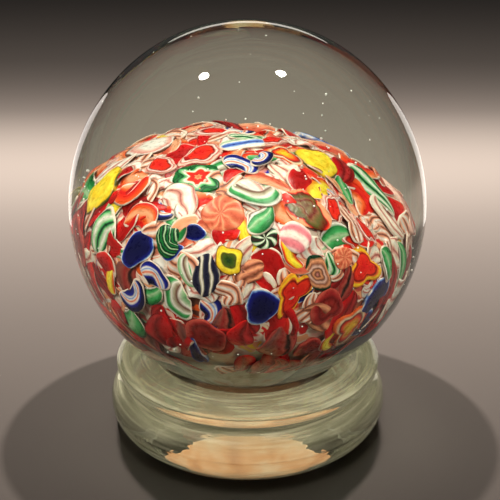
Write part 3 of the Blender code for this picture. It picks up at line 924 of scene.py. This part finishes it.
# %% Shapes of each kind
SHAPES = {
    "star_cane": (pillow, {"corners": 8, "notch": 0.05, "dome": 0.8, "rough": 0.3}),
    "red_lens": (pillow, {"dome": 0.8, "corners": 2, "notch": 0.10, "rough": 1.3}),
    "red_wedge": (pillow, {"corners": 3, "notch": 0.26, "dome": 0.8, "rough": 1.3}),
    "amber_wedge": (pillow, {"corners": 3, "notch": 0.20, "dome": 0.8}),
    "yellow_lump": (pillow, {"corners": 5, "notch": 0.05, "dome": 1.1}),
    "white_lump": (pillow, {"corners": 3, "notch": 0.10, "dome": 0.8}),
    "orange_disc": (pillow, {"dome": 0.8, "rough": 0.6}),
    "smoke_disc": (pillow, {"dome": 0.6}),
    "cobalt_lump": (pillow, {"corners": 3, "notch": 0.08, "dome": 0.8}),
    "cobalt_curl": (ribbon, {"bend": 1.6, "roll": 0.4, "slim": 0.8}),
    "blue_ribbon": (ribbon, {"bend": 0.1, "roll": 0.2}),
    "green_petal": (ribbon, {"bend": 0.5, "fan": -0.35, "roll": 0.4, "tip": 2.0}),
    "green_curl": (ribbon, {"bend": 1.2, "roll": 0.4, "slim": 0.85}),
    "green_shell": (ribbon, {"bend": 0.4, "fan": 0.5, "roll": 0.4}),
    "pink_ribbon": (ribbon, {"wave": 0.7, "bend": 0.3, "roll": 0.5}),
    "pink_shell": (ribbon, {"bend": 1.0, "fan": 0.55, "roll": 0.5, "tip": 3.0}),
    "pink_ball": (pillow, {"dome": 1.5, "rough": 0.4}),
    "pinwheel": (pillow, {"dome": 1.0, "rough": 0.4}),
    "thread_ball": (pillow, {"dome": 1.5}),
    "striped_oval": (pillow, {"dome": 1.1, "rough": 0.6}),
    "ringed_cane": (pillow, {"corners": 4, "notch": 0.06, "dome": 0.9, "rough": 0.6}),
    "brown_petal": (pillow, {"dome": 0.7, "corners": 2, "notch": 0.10}),
    "mauve_petal": (ribbon, {"bend": 0.3, "fan": -0.3, "roll": 0.5, "tip": 2.0}),
    "dark_red_disc": (pillow, {"dome": 0.7}),
    "red_petal": (ribbon, {"bend": 0.4, "fan": -0.3, "roll": 0.5, "tip": 2.0}),
    "orange_ribbon": (ribbon, {"bend": 0.6, "wave": 0.5, "roll": 0.5, "tip": 3.0}),
    "yellow_fold": (ribbon, {"bend": 0.8, "roll": 0.4, "tip": 3.0}),
    "peach_fold": (ribbon, {"bend": 0.9, "fan": 0.3, "roll": 0.6, "tip": 2.0}),
    "brown_fold": (ribbon, {"bend": 0.8, "wave": 0.5, "roll": 0.6, "tip": 2.5}),
    "milk_fold": (ribbon, {"bend": 0.9, "fan": 0.3, "roll": 0.6, "tip": 2.0}),
    "scarlet_fold": (ribbon, {"bend": 0.7, "fan": 0.35, "roll": 0.5, "tip": 2.0}),
}
print(len(SHAPES), "shapes")


def kind_of(name):
    """The kind of a cane node: its name without the number at its end."""
    return name.rsplit("_", 1)[0]


def cane_skin(kind, seat, turn, length, width, rng, lift):
    """One cane's skin, a pillow or a ribbon as its kind says; a ribbon's bend goes to either side."""
    form, options = SHAPES[kind]
    options = dict(options)
    if form is ribbon:
        options["bend"] = options.get("bend", 0.0) * rng.choice((-1.0, 1.0)) * rng.uniform(0.7, 1.3)
    return form(seat, turn, length, width, rng, lift=lift, **options)


# %% The canes of the solid model
CANE_GROW = 1.22
CANE_LIFT = 0.12 * MM
rng = np.random.default_rng(11)
for name, cane in solid_canes.items():
    kind = kind_of(name)
    size = CANE_GROW * cane["length"], CANE_GROW * cane["width"]
    skin = cane_skin(kind, cane["seat"], cane["turn"], *size, rng, CANE_LIFT)
    settle(join_skins(f"{name}_glass", [skin]), cane_glass[kind], kind, name)
print(len(solid_canes), "canes")

# %% [markdown]
# ## The chips between
#
# More slices fill the cushion. They have no solids of their own, so they are placed here. Some have set
# places. The rest are spread evenly over the dome by the golden angle, moved a little by chance, and left
# out where a cane or a set chip already lies. Chips of one kind are joined into one mesh.

# %% Spread the chips
CHIP_COUNT = 430
# Darker kinds take larger shares near the bottom: partly the real dark petals there, partly painted shade on the
# cushion's underside.
CHIP_KINDS = {
    # kind: its share near the top, and its share near the bottom
    "pink_ribbon": (0.14, 0.03),
    "pink_shell": (0.14, 0.02),
    "red_lens": (0.06, 0.03),
    "orange_ribbon": (0.13, 0.06),
    "peach_fold": (0.15, 0.08),
    "brown_fold": (0.03, 0.14),
    "milk_fold": (0.11, 0.02),
    "scarlet_fold": (0.12, 0.12),
    "red_petal": (0.05, 0.26),
    "green_petal": (0.03, 0.02),
    "green_curl": (0.03, 0.01),
    "mauve_petal": (0.01, 0.12),
    "cobalt_curl": (0.01, 0.01),
    "cobalt_lump": (0.01, 0.03),
    "yellow_fold": (0.02, 0.03),
    "dark_red_disc": (0.01, 0.06),
    "green_shell": (0.02, 0.01),
}
# Chips with set places. Most of these rows are rounded results of a separate calculation, which is not
# part of this script. The last six, and some of the others, were chosen one by one.
PLACED_CHIPS = (
    # kind, azimuth, angle from the top, half length, half width, turn (millimetres and degrees)
    ("green_petal", -52, 21, 2.6, 1.6, -40), ("scarlet_fold", -95, 32, 3.2, 1.2, 48),
    ("pink_ribbon", -170, 44, 3.0, 2.4, 69), ("red_petal", -147, 36, 2.5, 2.3, 41),
    ("cobalt_lump", -113, 68, 2.2, 1.4, -8), ("peach_fold", -133, 81, 1.6, 1.5, 0),
    ("green_curl", -110, 84, 3.6, 1.5, -61), ("yellow_fold", -87, 68, 5.2, 1.4, -59),
    ("brown_fold", -87, 84, 2.8, 1.8, 38), ("red_petal", -70, 109, 3.8, 1.8, -60),
    ("yellow_fold", -69, 78, 3.4, 1.4, -73), ("green_shell", -52, 85, 2.3, 1.5, -90),
    ("red_lens", -23, 64, 1.9, 1.7, -82), ("cobalt_lump", -19, 121, 4.0, 2.3, -58),
    ("cobalt_lump", -118, 133, 4.6, 1.5, -100), ("red_petal", -53, 150, 4.2, 2.2, -90),
    ("red_petal", 176, 85, 3.2, 2.4, 90), ("brown_fold", -54, 109, 4.8, 2.2, -37),
    ("dark_red_disc", -50, 129, 2.6, 2.6, 0), ("yellow_fold", 150, 41, 4.3, 1.5, 30),
    ("red_lens", 117, 34, 3.8, 2.2, 70), ("red_lens", 122, 18, 2.7, 2.2, 146),
    ("cobalt_curl", 94, 17, 2.2, 2.0, 147), ("red_lens", 22, 17, 2.5, 1.8, -45),
    ("pink_shell", 27, 33, 3.1, 2.6, -67), ("red_lens", -13, 58, 1.8, 1.6, -84),
    ("green_petal", -3, 60, 2.4, 1.5, -119), ("milk_fold", -47, 36, 3.4, 2.2, -55),
    ("pink_shell", -146, 49, 3.2, 2.0, 62), ("yellow_fold", -153, 99, 3.2, 1.3, -104),
    ("red_petal", -163, 102, 3.6, 2.6, -32), ("scarlet_fold", -156, 92, 3.0, 2.3, -18),
    ("peach_fold", -117, 43, 2.2, 2.0, 0), ("orange_disc", -127, 36, 1.8, 1.5, 90),
    ("peach_fold", 169, 39, 3.6, 2.4, 48), ("green_shell", 65, 7, 3.0, 1.5, -165),
    ("red_petal", -160, 120, 4.6, 2.4, -120), ("red_petal", -141, 62, 4.2, 2.2, 25),
    ("scarlet_fold", -166, 62, 3.6, 1.8, 60), ("red_petal", -172, 74, 3.4, 2.0, 70),
    ("green_shell", 12, 68, 5.0, 1.5, 75), ("milk_fold", 6, 82, 5.0, 1.6, 85),
    ("green_petal", 2, 100, 4.4, 1.5, 80), ("peach_fold", -96, 58, 2.6, 1.8, 20),
    ("brown_fold", -100, 50, 3.0, 1.4, -35), ("cobalt_lump", -121, 77, 2.4, 1.5, 10),
    ("red_petal", -88, 144, 4.6, 1.6, -92), ("mauve_petal", -74, 150, 5.0, 2.4, -86),
    ("red_petal", -62, 146, 4.2, 1.6, -80), ("milk_fold", -132, 126, 3.8, 1.6, -110),
    ("yellow_fold", -38, 128, 4.4, 1.4, -60), ("mauve_petal", -30, 140, 4.4, 2.2, -70),
)
LONG_CHIP = (3.0, 4.8)
LONG_PETAL = (4.0, 6.0)
WIDE_CHIP = (1.8, 3.0)
LOW_DENSITY = 0.5
GOLDEN_ANGLE = math.pi * (3.0 - math.sqrt(5.0))
LOWEST_CHIP = math.radians(156.0)
SIDE_ANGLE, SIDE_STEEPNESS = 1.75, 7.0
JITTER, PETAL_LEAN, CLEARANCE = 0.03, 0.22, 0.75
PLACED_LIFT, SPREAD_LIFT = (-0.25, 0.0), (-0.55, -0.25)

chips = {}
placed = list(solid_canes.values())
for kind, around, down, length, width, turn in PLACED_CHIPS:
    seat = seat_at(math.radians(around), math.radians(down))
    placed.append({"seat": seat, "length": length * MM, "width": width * MM})
    lift = rng.uniform(*PLACED_LIFT) * MM
    skin = cane_skin(kind, seat, math.radians(turn), length * MM, width * MM, rng, lift)
    chips.setdefault(kind, []).append(skin)

order = np.arange(CHIP_COUNT)
polar = np.arccos(1.0 - (1.0 - math.cos(LOWEST_CHIP)) * (order + 0.5) / CHIP_COUNT)
azimuth = order * GOLDEN_ANGLE
chip_kinds, chances = list(CHIP_KINDS), np.array(list(CHIP_KINDS.values()))
for down, around in zip(polar, azimuth):
    seat = seat_at(around + rng.normal(0.0, JITTER), down + rng.normal(0.0, JITTER))
    nearest = min(
        np.linalg.norm(seat - cane["seat"]) / (0.5 * (cane["length"] + cane["width"])) for cane in placed
    )
    low_share = 1.0 / (1.0 + math.exp(-SIDE_STEEPNESS * (down - SIDE_ANGLE)))
    weights = chances[:, 0] * (1.0 - low_share) + chances[:, 1] * low_share
    kind = rng.choice(chip_kinds, p=weights / weights.sum())
    is_petal = low_share > 0.5
    length = rng.uniform(*(LONG_PETAL if is_petal else LONG_CHIP)) * MM
    width = rng.uniform(*WIDE_CHIP) * MM
    turn = math.pi / 2 + rng.normal(0.0, PETAL_LEAN) if is_petal else rng.uniform(0.0, math.pi)
    skin = cane_skin(kind, seat, turn, length, width, rng, rng.uniform(*SPREAD_LIFT) * MM)
    if nearest > CLEARANCE and (not is_petal or rng.uniform() < LOW_DENSITY):
        chips.setdefault(kind, []).append(skin)
for kind, skins in chips.items():
    settle(join_skins(f"{kind}_chips", skins), cane_glass[kind], CHIP_SLOTS.get(kind, kind))
print(sum(len(skins) for skins in chips.values()), "chips in", len(chips), "pieces")

# %% [markdown]
# ## The ground
#
# The canes are picked up on opaque glass. Crushed glass of many colours shows wherever two canes part.
# The underside, seen through the pedestal, is painted a dull grey-green with pale streaks, which stands
# for the light from the floor and the foot that shows between the low petals. So the ground has one
# closed shape and a material that changes from side to underside.

# %% Ground shape
RIPPLE = 0.006
WAIST_ANGLE, SKIRT_ANGLE, BLEND_ANGLE = 100.0, 152.0, 20.0
BED_SHARE = 0.975
LOW_BED_SHARE = 0.965
SKIRT_SHARE = 1.10
GROUND_ROWS, GROUND_SIDES = 80, 120


def ground_skin():
    """The cushion shrunk to a share of itself, less from its waist down, with a skirt at the very bottom."""
    down = math.pi * (np.arange(GROUND_ROWS) + 0.5)[:, None] / GROUND_ROWS
    around = np.linspace(0.0, 2.0 * math.pi, GROUND_SIDES, endpoint=False)[None, :]
    direction = unit_rings(down, around)
    ripple = RIPPLE * np.sin(9 * around + 4 * down) * np.sin(7 * down)
    lower = np.clip((np.degrees(down) - WAIST_ANGLE) / BLEND_ANGLE, 0.0, 1.0)
    skirt = np.clip((np.degrees(down) - SKIRT_ANGLE) / BLEND_ANGLE, 0.0, 1.0)
    share = BED_SHARE + ripple + (LOW_BED_SHARE - BED_SHARE) * lower + (SKIRT_SHARE - LOW_BED_SHARE) * skirt
    rings = cushion_middle + on_cushion(direction) * share[..., None]
    return {"rings": rings, "uv": np.stack(np.broadcast_arrays(around, down), -1), "seed": 0.5}


ground = join_skins("cushion_ground_glass", [ground_skin()])
print("ground", len(ground.data.polygons), "faces")

# %% Crushed glass
CELL_SCALE = 260.0
STRIPE_SCALE = 2300.0
MOSAIC = (
    (0.00, BLUSH), (0.12, WHITE), (0.26, PEACH), (0.36, RED), (0.47, SCARLET), (0.54, (0.45, 0.14, 0.08)),
    (0.63, ORANGE), (0.70, CREAM), (0.78, LEAF), (0.83, BROWN), (0.89, COBALT), (0.92, YELLOW), (0.95, ROSE))
MOSAIC_STRIPES = ((0.0, WHITE), (0.25, PINK), (0.42, BROWN), (0.55, PEACH), (0.72, RED), (0.88, PALE_GREEN))
# Painted light: the underside's dull grey-green with pale streaks stands for the light seen between the low
# petals.
PAINTED_SEEN_LIGHT = (
    (0.30, (0.20, 0.17, 0.10)),
    (0.42, (0.38, 0.36, 0.25)),
    (0.55, (0.52, 0.48, 0.36)),
    (0.66, (0.50, 0.32, 0.22)),
)
PUSH_SCALE, PUSH_SHARE, STREAK_SCALE = 170.0, 0.008, 300.0
MIDDLE_GREY = (0.5, 0.5, 0.5)
LOW_SHARE, HIGH_SHARE = 0.62, 0.38

material, tree, shader, _ = new_material("peach_ground")
place = add_node(tree, "ShaderNodeTexCoord").outputs["Object"]
push = add_node(tree, "ShaderNodeTexNoise", Vector=place, Scale=PUSH_SCALE, Detail=2.0).outputs["Color"]
bent = mix_colour(tree, PUSH_SHARE, place, push, "ADD")
cells = add_node(tree, "ShaderNodeTexVoronoi", Vector=bent, Scale=CELL_SCALE)
borders = tree.nodes.new("ShaderNodeTexVoronoi")
borders.feature = "DISTANCE_TO_EDGE"
fill(tree, borders.inputs["Vector"], bent)
borders.inputs["Scale"].default_value = CELL_SCALE
pick = add_node(tree, "ShaderNodeSeparateColor", Color=cells.outputs["Color"])
slope = tree.nodes.new("ShaderNodeVectorMath")
slope.operation = "DOT_PRODUCT"
fill(tree, slope.inputs[0], bent)
fill(tree, slope.inputs[1], mix_colour(tree, 1.0, cells.outputs["Color"], MIDDLE_GREY, "SUBTRACT"))
stripe = calc(tree, "PINGPONG", calc(tree, "MULTIPLY", slope.outputs["Value"], STRIPE_SCALE), 1.0)
striped = ramp(tree, stripe, ((0.40, NONE), (0.58, FULL)))
plain = ramp(tree, pick.outputs["Red"], MOSAIC, "CONSTANT")
second = ramp(tree, pick.outputs["Green"], MOSAIC_STRIPES, "CONSTANT")
crushed = mix_colour(tree, striped, plain, second)
outline = ramp(tree, borders.outputs["Distance"], ((0.03, FULL), (0.08, NONE)))
crushed = mix_colour(tree, outline, crushed, CASING)
streak = add_node(tree, "ShaderNodeTexNoise", Vector=bent, Scale=STREAK_SCALE, Detail=3.0).outputs["Fac"]
painted_seen_light = ramp(tree, streak, PAINTED_SEEN_LIGHT)
height = add_node(tree, "ShaderNodeSeparateXYZ", Vector=bent).outputs["Z"]
low = cushion_middle[2] - LOW_SHARE * cushion_down
high = cushion_middle[2] - HIGH_SHARE * cushion_down
upper = add_node(tree, "ShaderNodeMapRange", Value=height, From_Min=low, From_Max=high).outputs["Result"]
fill(tree, shader.inputs["Base Color"], mix_colour(tree, upper, painted_seen_light, crushed))
shader.inputs["Roughness"].default_value = 0.3
shader.inputs["Specular IOR Level"].default_value = 0.25
settle(ground, material, "peach_ground", "cushion_ground")
print("ground material with", len(tree.nodes), "nodes")

# %% [markdown]
# ## The pad in the pedestal
#
# The foot holds one large warm patch. What makes it is a guess. Here a peach cone stands under the
# cushion, where the pedestal's glass bends and mirrors it. It has no solid of its own, and its shape and
# the faint light that it gives off were changed until the patch looked right.

# %% Peach pad
PAD_TOP_RADIUS, PAD_FOOT_RADIUS = 12.5 * MM, 7.0 * MM
PAD_LOW, PAD_HIGH, PAD_EDGE = 3.2 * MM, 9.0 * MM, 0.6 * MM
PAD_CORE, PAD_SIDES = 0.5 * MM, 64
PAD_GLOW = 0.80
pad_profile = np.concatenate([
    ellipse_arc((PAD_TOP_RADIUS - PAD_EDGE, PAD_HIGH - PAD_EDGE), (PAD_EDGE, PAD_EDGE), 0.0, 120.0, 10),
    ellipse_arc((PAD_FOOT_RADIUS - PAD_EDGE, PAD_LOW + PAD_EDGE), (PAD_EDGE, PAD_EDGE), 120.0, 180.0, 6),
])
pad_profile = np.concatenate([[[PAD_CORE, PAD_HIGH]], pad_profile, [[PAD_CORE, PAD_LOW]]])
pad_rings = turned(pad_profile, PAD_SIDES)
pad_uv = np.zeros((*pad_rings.shape[:2], 2))
pad = join_skins("peach_pad", [{"rings": pad_rings, "uv": pad_uv, "seed": 0.5}])
glow, tree, shader, _ = new_material("peach_pad")
place = add_node(tree, "ShaderNodeTexCoord").outputs["Object"]
cloud = add_node(tree, "ShaderNodeTexNoise", Vector=place, Scale=160.0, Detail=3.0).outputs["Fac"]
peach = ramp(tree, cloud, ((0.30, (0.62, 0.24, 0.09)), (0.52, (0.92, 0.46, 0.19)), (0.68, (0.98, 0.66, 0.36))))
fill(tree, shader.inputs["Base Color"], peach)
fill(tree, shader.inputs["Alpha"], ramp(tree, cloud, ((0.34, (0.6,) * 3), (0.55, (1.0,) * 3))))
fill(tree, shader.inputs["Emission Color"], peach)
shader.inputs["Emission Strength"].default_value = PAD_GLOW
shader.inputs["Roughness"].default_value = 0.5
pad.visible_diffuse = False
settle(pad, glow, "peach_ground")
print("pad top radius", PAD_TOP_RADIUS)

# %% [markdown]
# ## Cords and a painted reflection in the pedestal
#
# The pedestal looks a little paler than the ball. Here a thin pale shell just inside the surface, with
# streaks that run round it like the cords in rolled glass, gives that look: its paleness is a painted
# reflection of pale surroundings. The shell is an invention: the real rings may be clear glass that
# shows a pale surrounding.

# %% Cords and painted reflection
CORD_DEPTH, CORD_WALL = 0.45 * MM, 0.15 * MM
CORD_SIDES = 144
CORD_PULL, CORD_SCALE, CLOUD_SCALE = 0.06, 1500.0, 70.0


def inward(path, depth):
    """Move a profile into the glass: its direction (dr, dz) turned to (dz, -dr), times the depth."""
    along = np.gradient(path, axis=0)
    along /= np.linalg.norm(along, axis=1, keepdims=True)
    return path + depth * np.stack([along[:, 1], -along[:, 0]], -1)


def closed_tube(name, grid):
    """A mesh from a grid of points whose last row and column join on to the first ones."""
    rows, columns = grid.shape[:2]
    row, column = np.meshgrid(np.arange(rows), np.arange(columns), indexing="ij")
    below, beside = (row + 1) % rows, (column + 1) % columns
    corners = [(row, column), (below, column), (below, beside), (row, beside)]
    quads = np.stack([down * columns + across for down, across in corners], -1).reshape(-1, 4)
    mesh = bpy.data.meshes.new(name)
    mesh.from_pydata(grid.reshape(-1, 3).tolist(), [], quads.tolist())
    mesh.shade_smooth()
    tube = bpy.data.objects.new(name, mesh)
    bpy.context.scene.collection.objects.link(tube)
    return tube


skin_path = np.concatenate([crown_part, collar_side, foot_crown, foot_side])
section = np.concatenate([inward(skin_path, CORD_DEPTH), inward(skin_path, CORD_DEPTH + CORD_WALL)[::-1]])
cords = closed_tube("pedestal_cords_and_reflection", turned(section, CORD_SIDES))
painted_reflection, tree, shader, _ = new_material("pedestal_cords_and_reflection")
place = add_node(tree, "ShaderNodeTexCoord").outputs["Object"]
apart = add_node(tree, "ShaderNodeSeparateXYZ", Vector=place)
across = axis_distance(tree, apart)
pulled = calc(tree, "MULTIPLY", apart.outputs["X"], CORD_PULL)
drawn = add_node(tree, "ShaderNodeCombineXYZ", X=across, Y=pulled, Z=apart.outputs["Z"])
cord = add_node(tree, "ShaderNodeTexNoise", Vector=drawn.outputs[0], Scale=CORD_SCALE, Detail=2.0).outputs["Fac"]
cloud = add_node(tree, "ShaderNodeTexNoise", Vector=place, Scale=CLOUD_SCALE, Detail=2.0).outputs["Fac"]
# Painted reflection: the shell's pale colours and its patchy alpha stand for pale surroundings mirrored in the
# rings.
painted_tones = ((0.32, (0.38, 0.37, 0.24)), (0.50, (0.50, 0.48, 0.33)), (0.68, (0.64, 0.61, 0.46)))
fill(tree, shader.inputs["Base Color"], ramp(tree, cord, painted_tones))
streaks = ramp(tree, cord, ((0.30, (0.34,) * 3), (0.50, (0.44,) * 3), (0.68, (0.60,) * 3)))
patches = ramp(tree, cloud, ((0.35, (0.55,) * 3), (0.65, (1.0,) * 3)))
rise = ramp(
    tree, calc(tree, "DIVIDE", apart.outputs["Z"], collar_high.z),
    ((0.16, (1.0,) * 3), (0.26, (0.26,) * 3), (0.46, (0.26,) * 3), (0.64, (1.0,) * 3)))
veil = calc(tree, "MULTIPLY", streaks, rise)
fill(tree, shader.inputs["Alpha"], calc(tree, "MULTIPLY", veil, patches))
shader.inputs["Roughness"].default_value = 0.5
cords.visible_diffuse = False
settle(cords, painted_reflection, "crystal")
print("cords", len(cords.data.polygons), "faces")

# %% [markdown]
# ## Air bubbles
#
# Tiny bubbles stay in hand-worked glass: a few seeds float in the dome, and more are caught where the
# slices meet. A bubble in glass mirrors much of the light that reaches its wall, so small white balls with
# few faces stand in for them.

# %% Bubbles
SEED_BUBBLES, CAUGHT_BUBBLES = 70, 110
BUBBLE_ROWS, BUBBLE_SIDES = 6, 8
BUBBLE_REACH, BUBBLE_GAP = 0.93, 2.0 * MM
CAUGHT_LIFT, CAUGHT_SIZE = (0.35, 0.6), (0.08, 0.2)
AIR_STOPS = ((0.3, (0.86, 0.84, 0.78)), (0.7, (0.97, 0.97, 0.95)))


def bubble(centre, radius):
    """A small ball: rings at (r sin a cos t, r sin a sin t, r cos a) round its centre."""
    down = math.pi * (np.arange(BUBBLE_ROWS) + 0.5)[:, None] / BUBBLE_ROWS
    around = np.linspace(0.0, 2.0 * math.pi, BUBBLE_SIDES, endpoint=False)[None, :]
    unit = unit_rings(down, around)
    return {"rings": centre + radius * unit, "uv": unit[..., :2], "seed": 0.5}


half_sides = np.array([ball_radius, ball_radius, ball_half_height])
ball_point = np.array([0.0, 0.0, ball_middle])
seeds = []
while len(seeds) < SEED_BUBBLES:
    spot = rng.uniform(-BUBBLE_REACH, BUBBLE_REACH, 3)
    centre = spot * half_sides + ball_point
    from_middle = centre - cushion_middle
    clear = np.linalg.norm(from_middle) > np.linalg.norm(on_cushion(from_middle)) + BUBBLE_GAP
    if np.linalg.norm(spot) < BUBBLE_REACH and clear and from_middle[2] > 0.0:
        seeds.append(bubble(centre, 0.06 * MM + rng.gamma(2.0, 0.03) * MM))
caught = []
for _ in range(CAUGHT_BUBBLES):
    seat = seat_at(rng.uniform(0.0, 2.0 * math.pi), math.acos(rng.uniform(-0.75, 1.0)))
    outward = seat / np.linalg.norm(seat)
    centre = cushion_middle + seat + rng.uniform(*CAUGHT_LIFT) * MM * outward
    caught.append(bubble(centre, rng.uniform(*CAUGHT_SIZE) * MM))
air, tree, shader, _ = new_material("air_bubble")
place = add_node(tree, "ShaderNodeTexCoord").outputs["Object"]
grain = add_node(tree, "ShaderNodeTexNoise", Vector=place, Scale=300.0).outputs["Fac"]
fill(tree, shader.inputs["Base Color"], ramp(tree, grain, AIR_STOPS))
shader.inputs["Roughness"].default_value = 0.2
settle(join_skins("seed_bubbles", seeds), air, "crystal")
settle(join_skins("caught_bubbles", caught), air, "crystal")
print(len(seeds), "seeds and", len(caught), "caught bubbles")

# %% [markdown]
# ## What each light lights
#
# The lamps stand where the dome mirrors them. The shadow lamps, a little closer together, light the floor
# only and cast the two overlapping shadows. The panels and the strips light the object only. Real lamps
# could not be told apart like this: it is done for the look.

# %% Link the lights
lit_pieces = bpy.data.collections.new("lit_object")
lit_floor = bpy.data.collections.new("lit_floor")
lit_floor.objects.link(floor)
for piece in bpy.context.scene.objects:
    if piece.type == "MESH" and piece is not floor:
        lit_pieces.objects.link(piece)
for name, *_, lights_up in LIGHTS:
    receivers = lit_pieces if lights_up == "object" else lit_floor
    bpy.data.objects[name].light_linking.receiver_collection = receivers

# %% Finish
print("scene built")
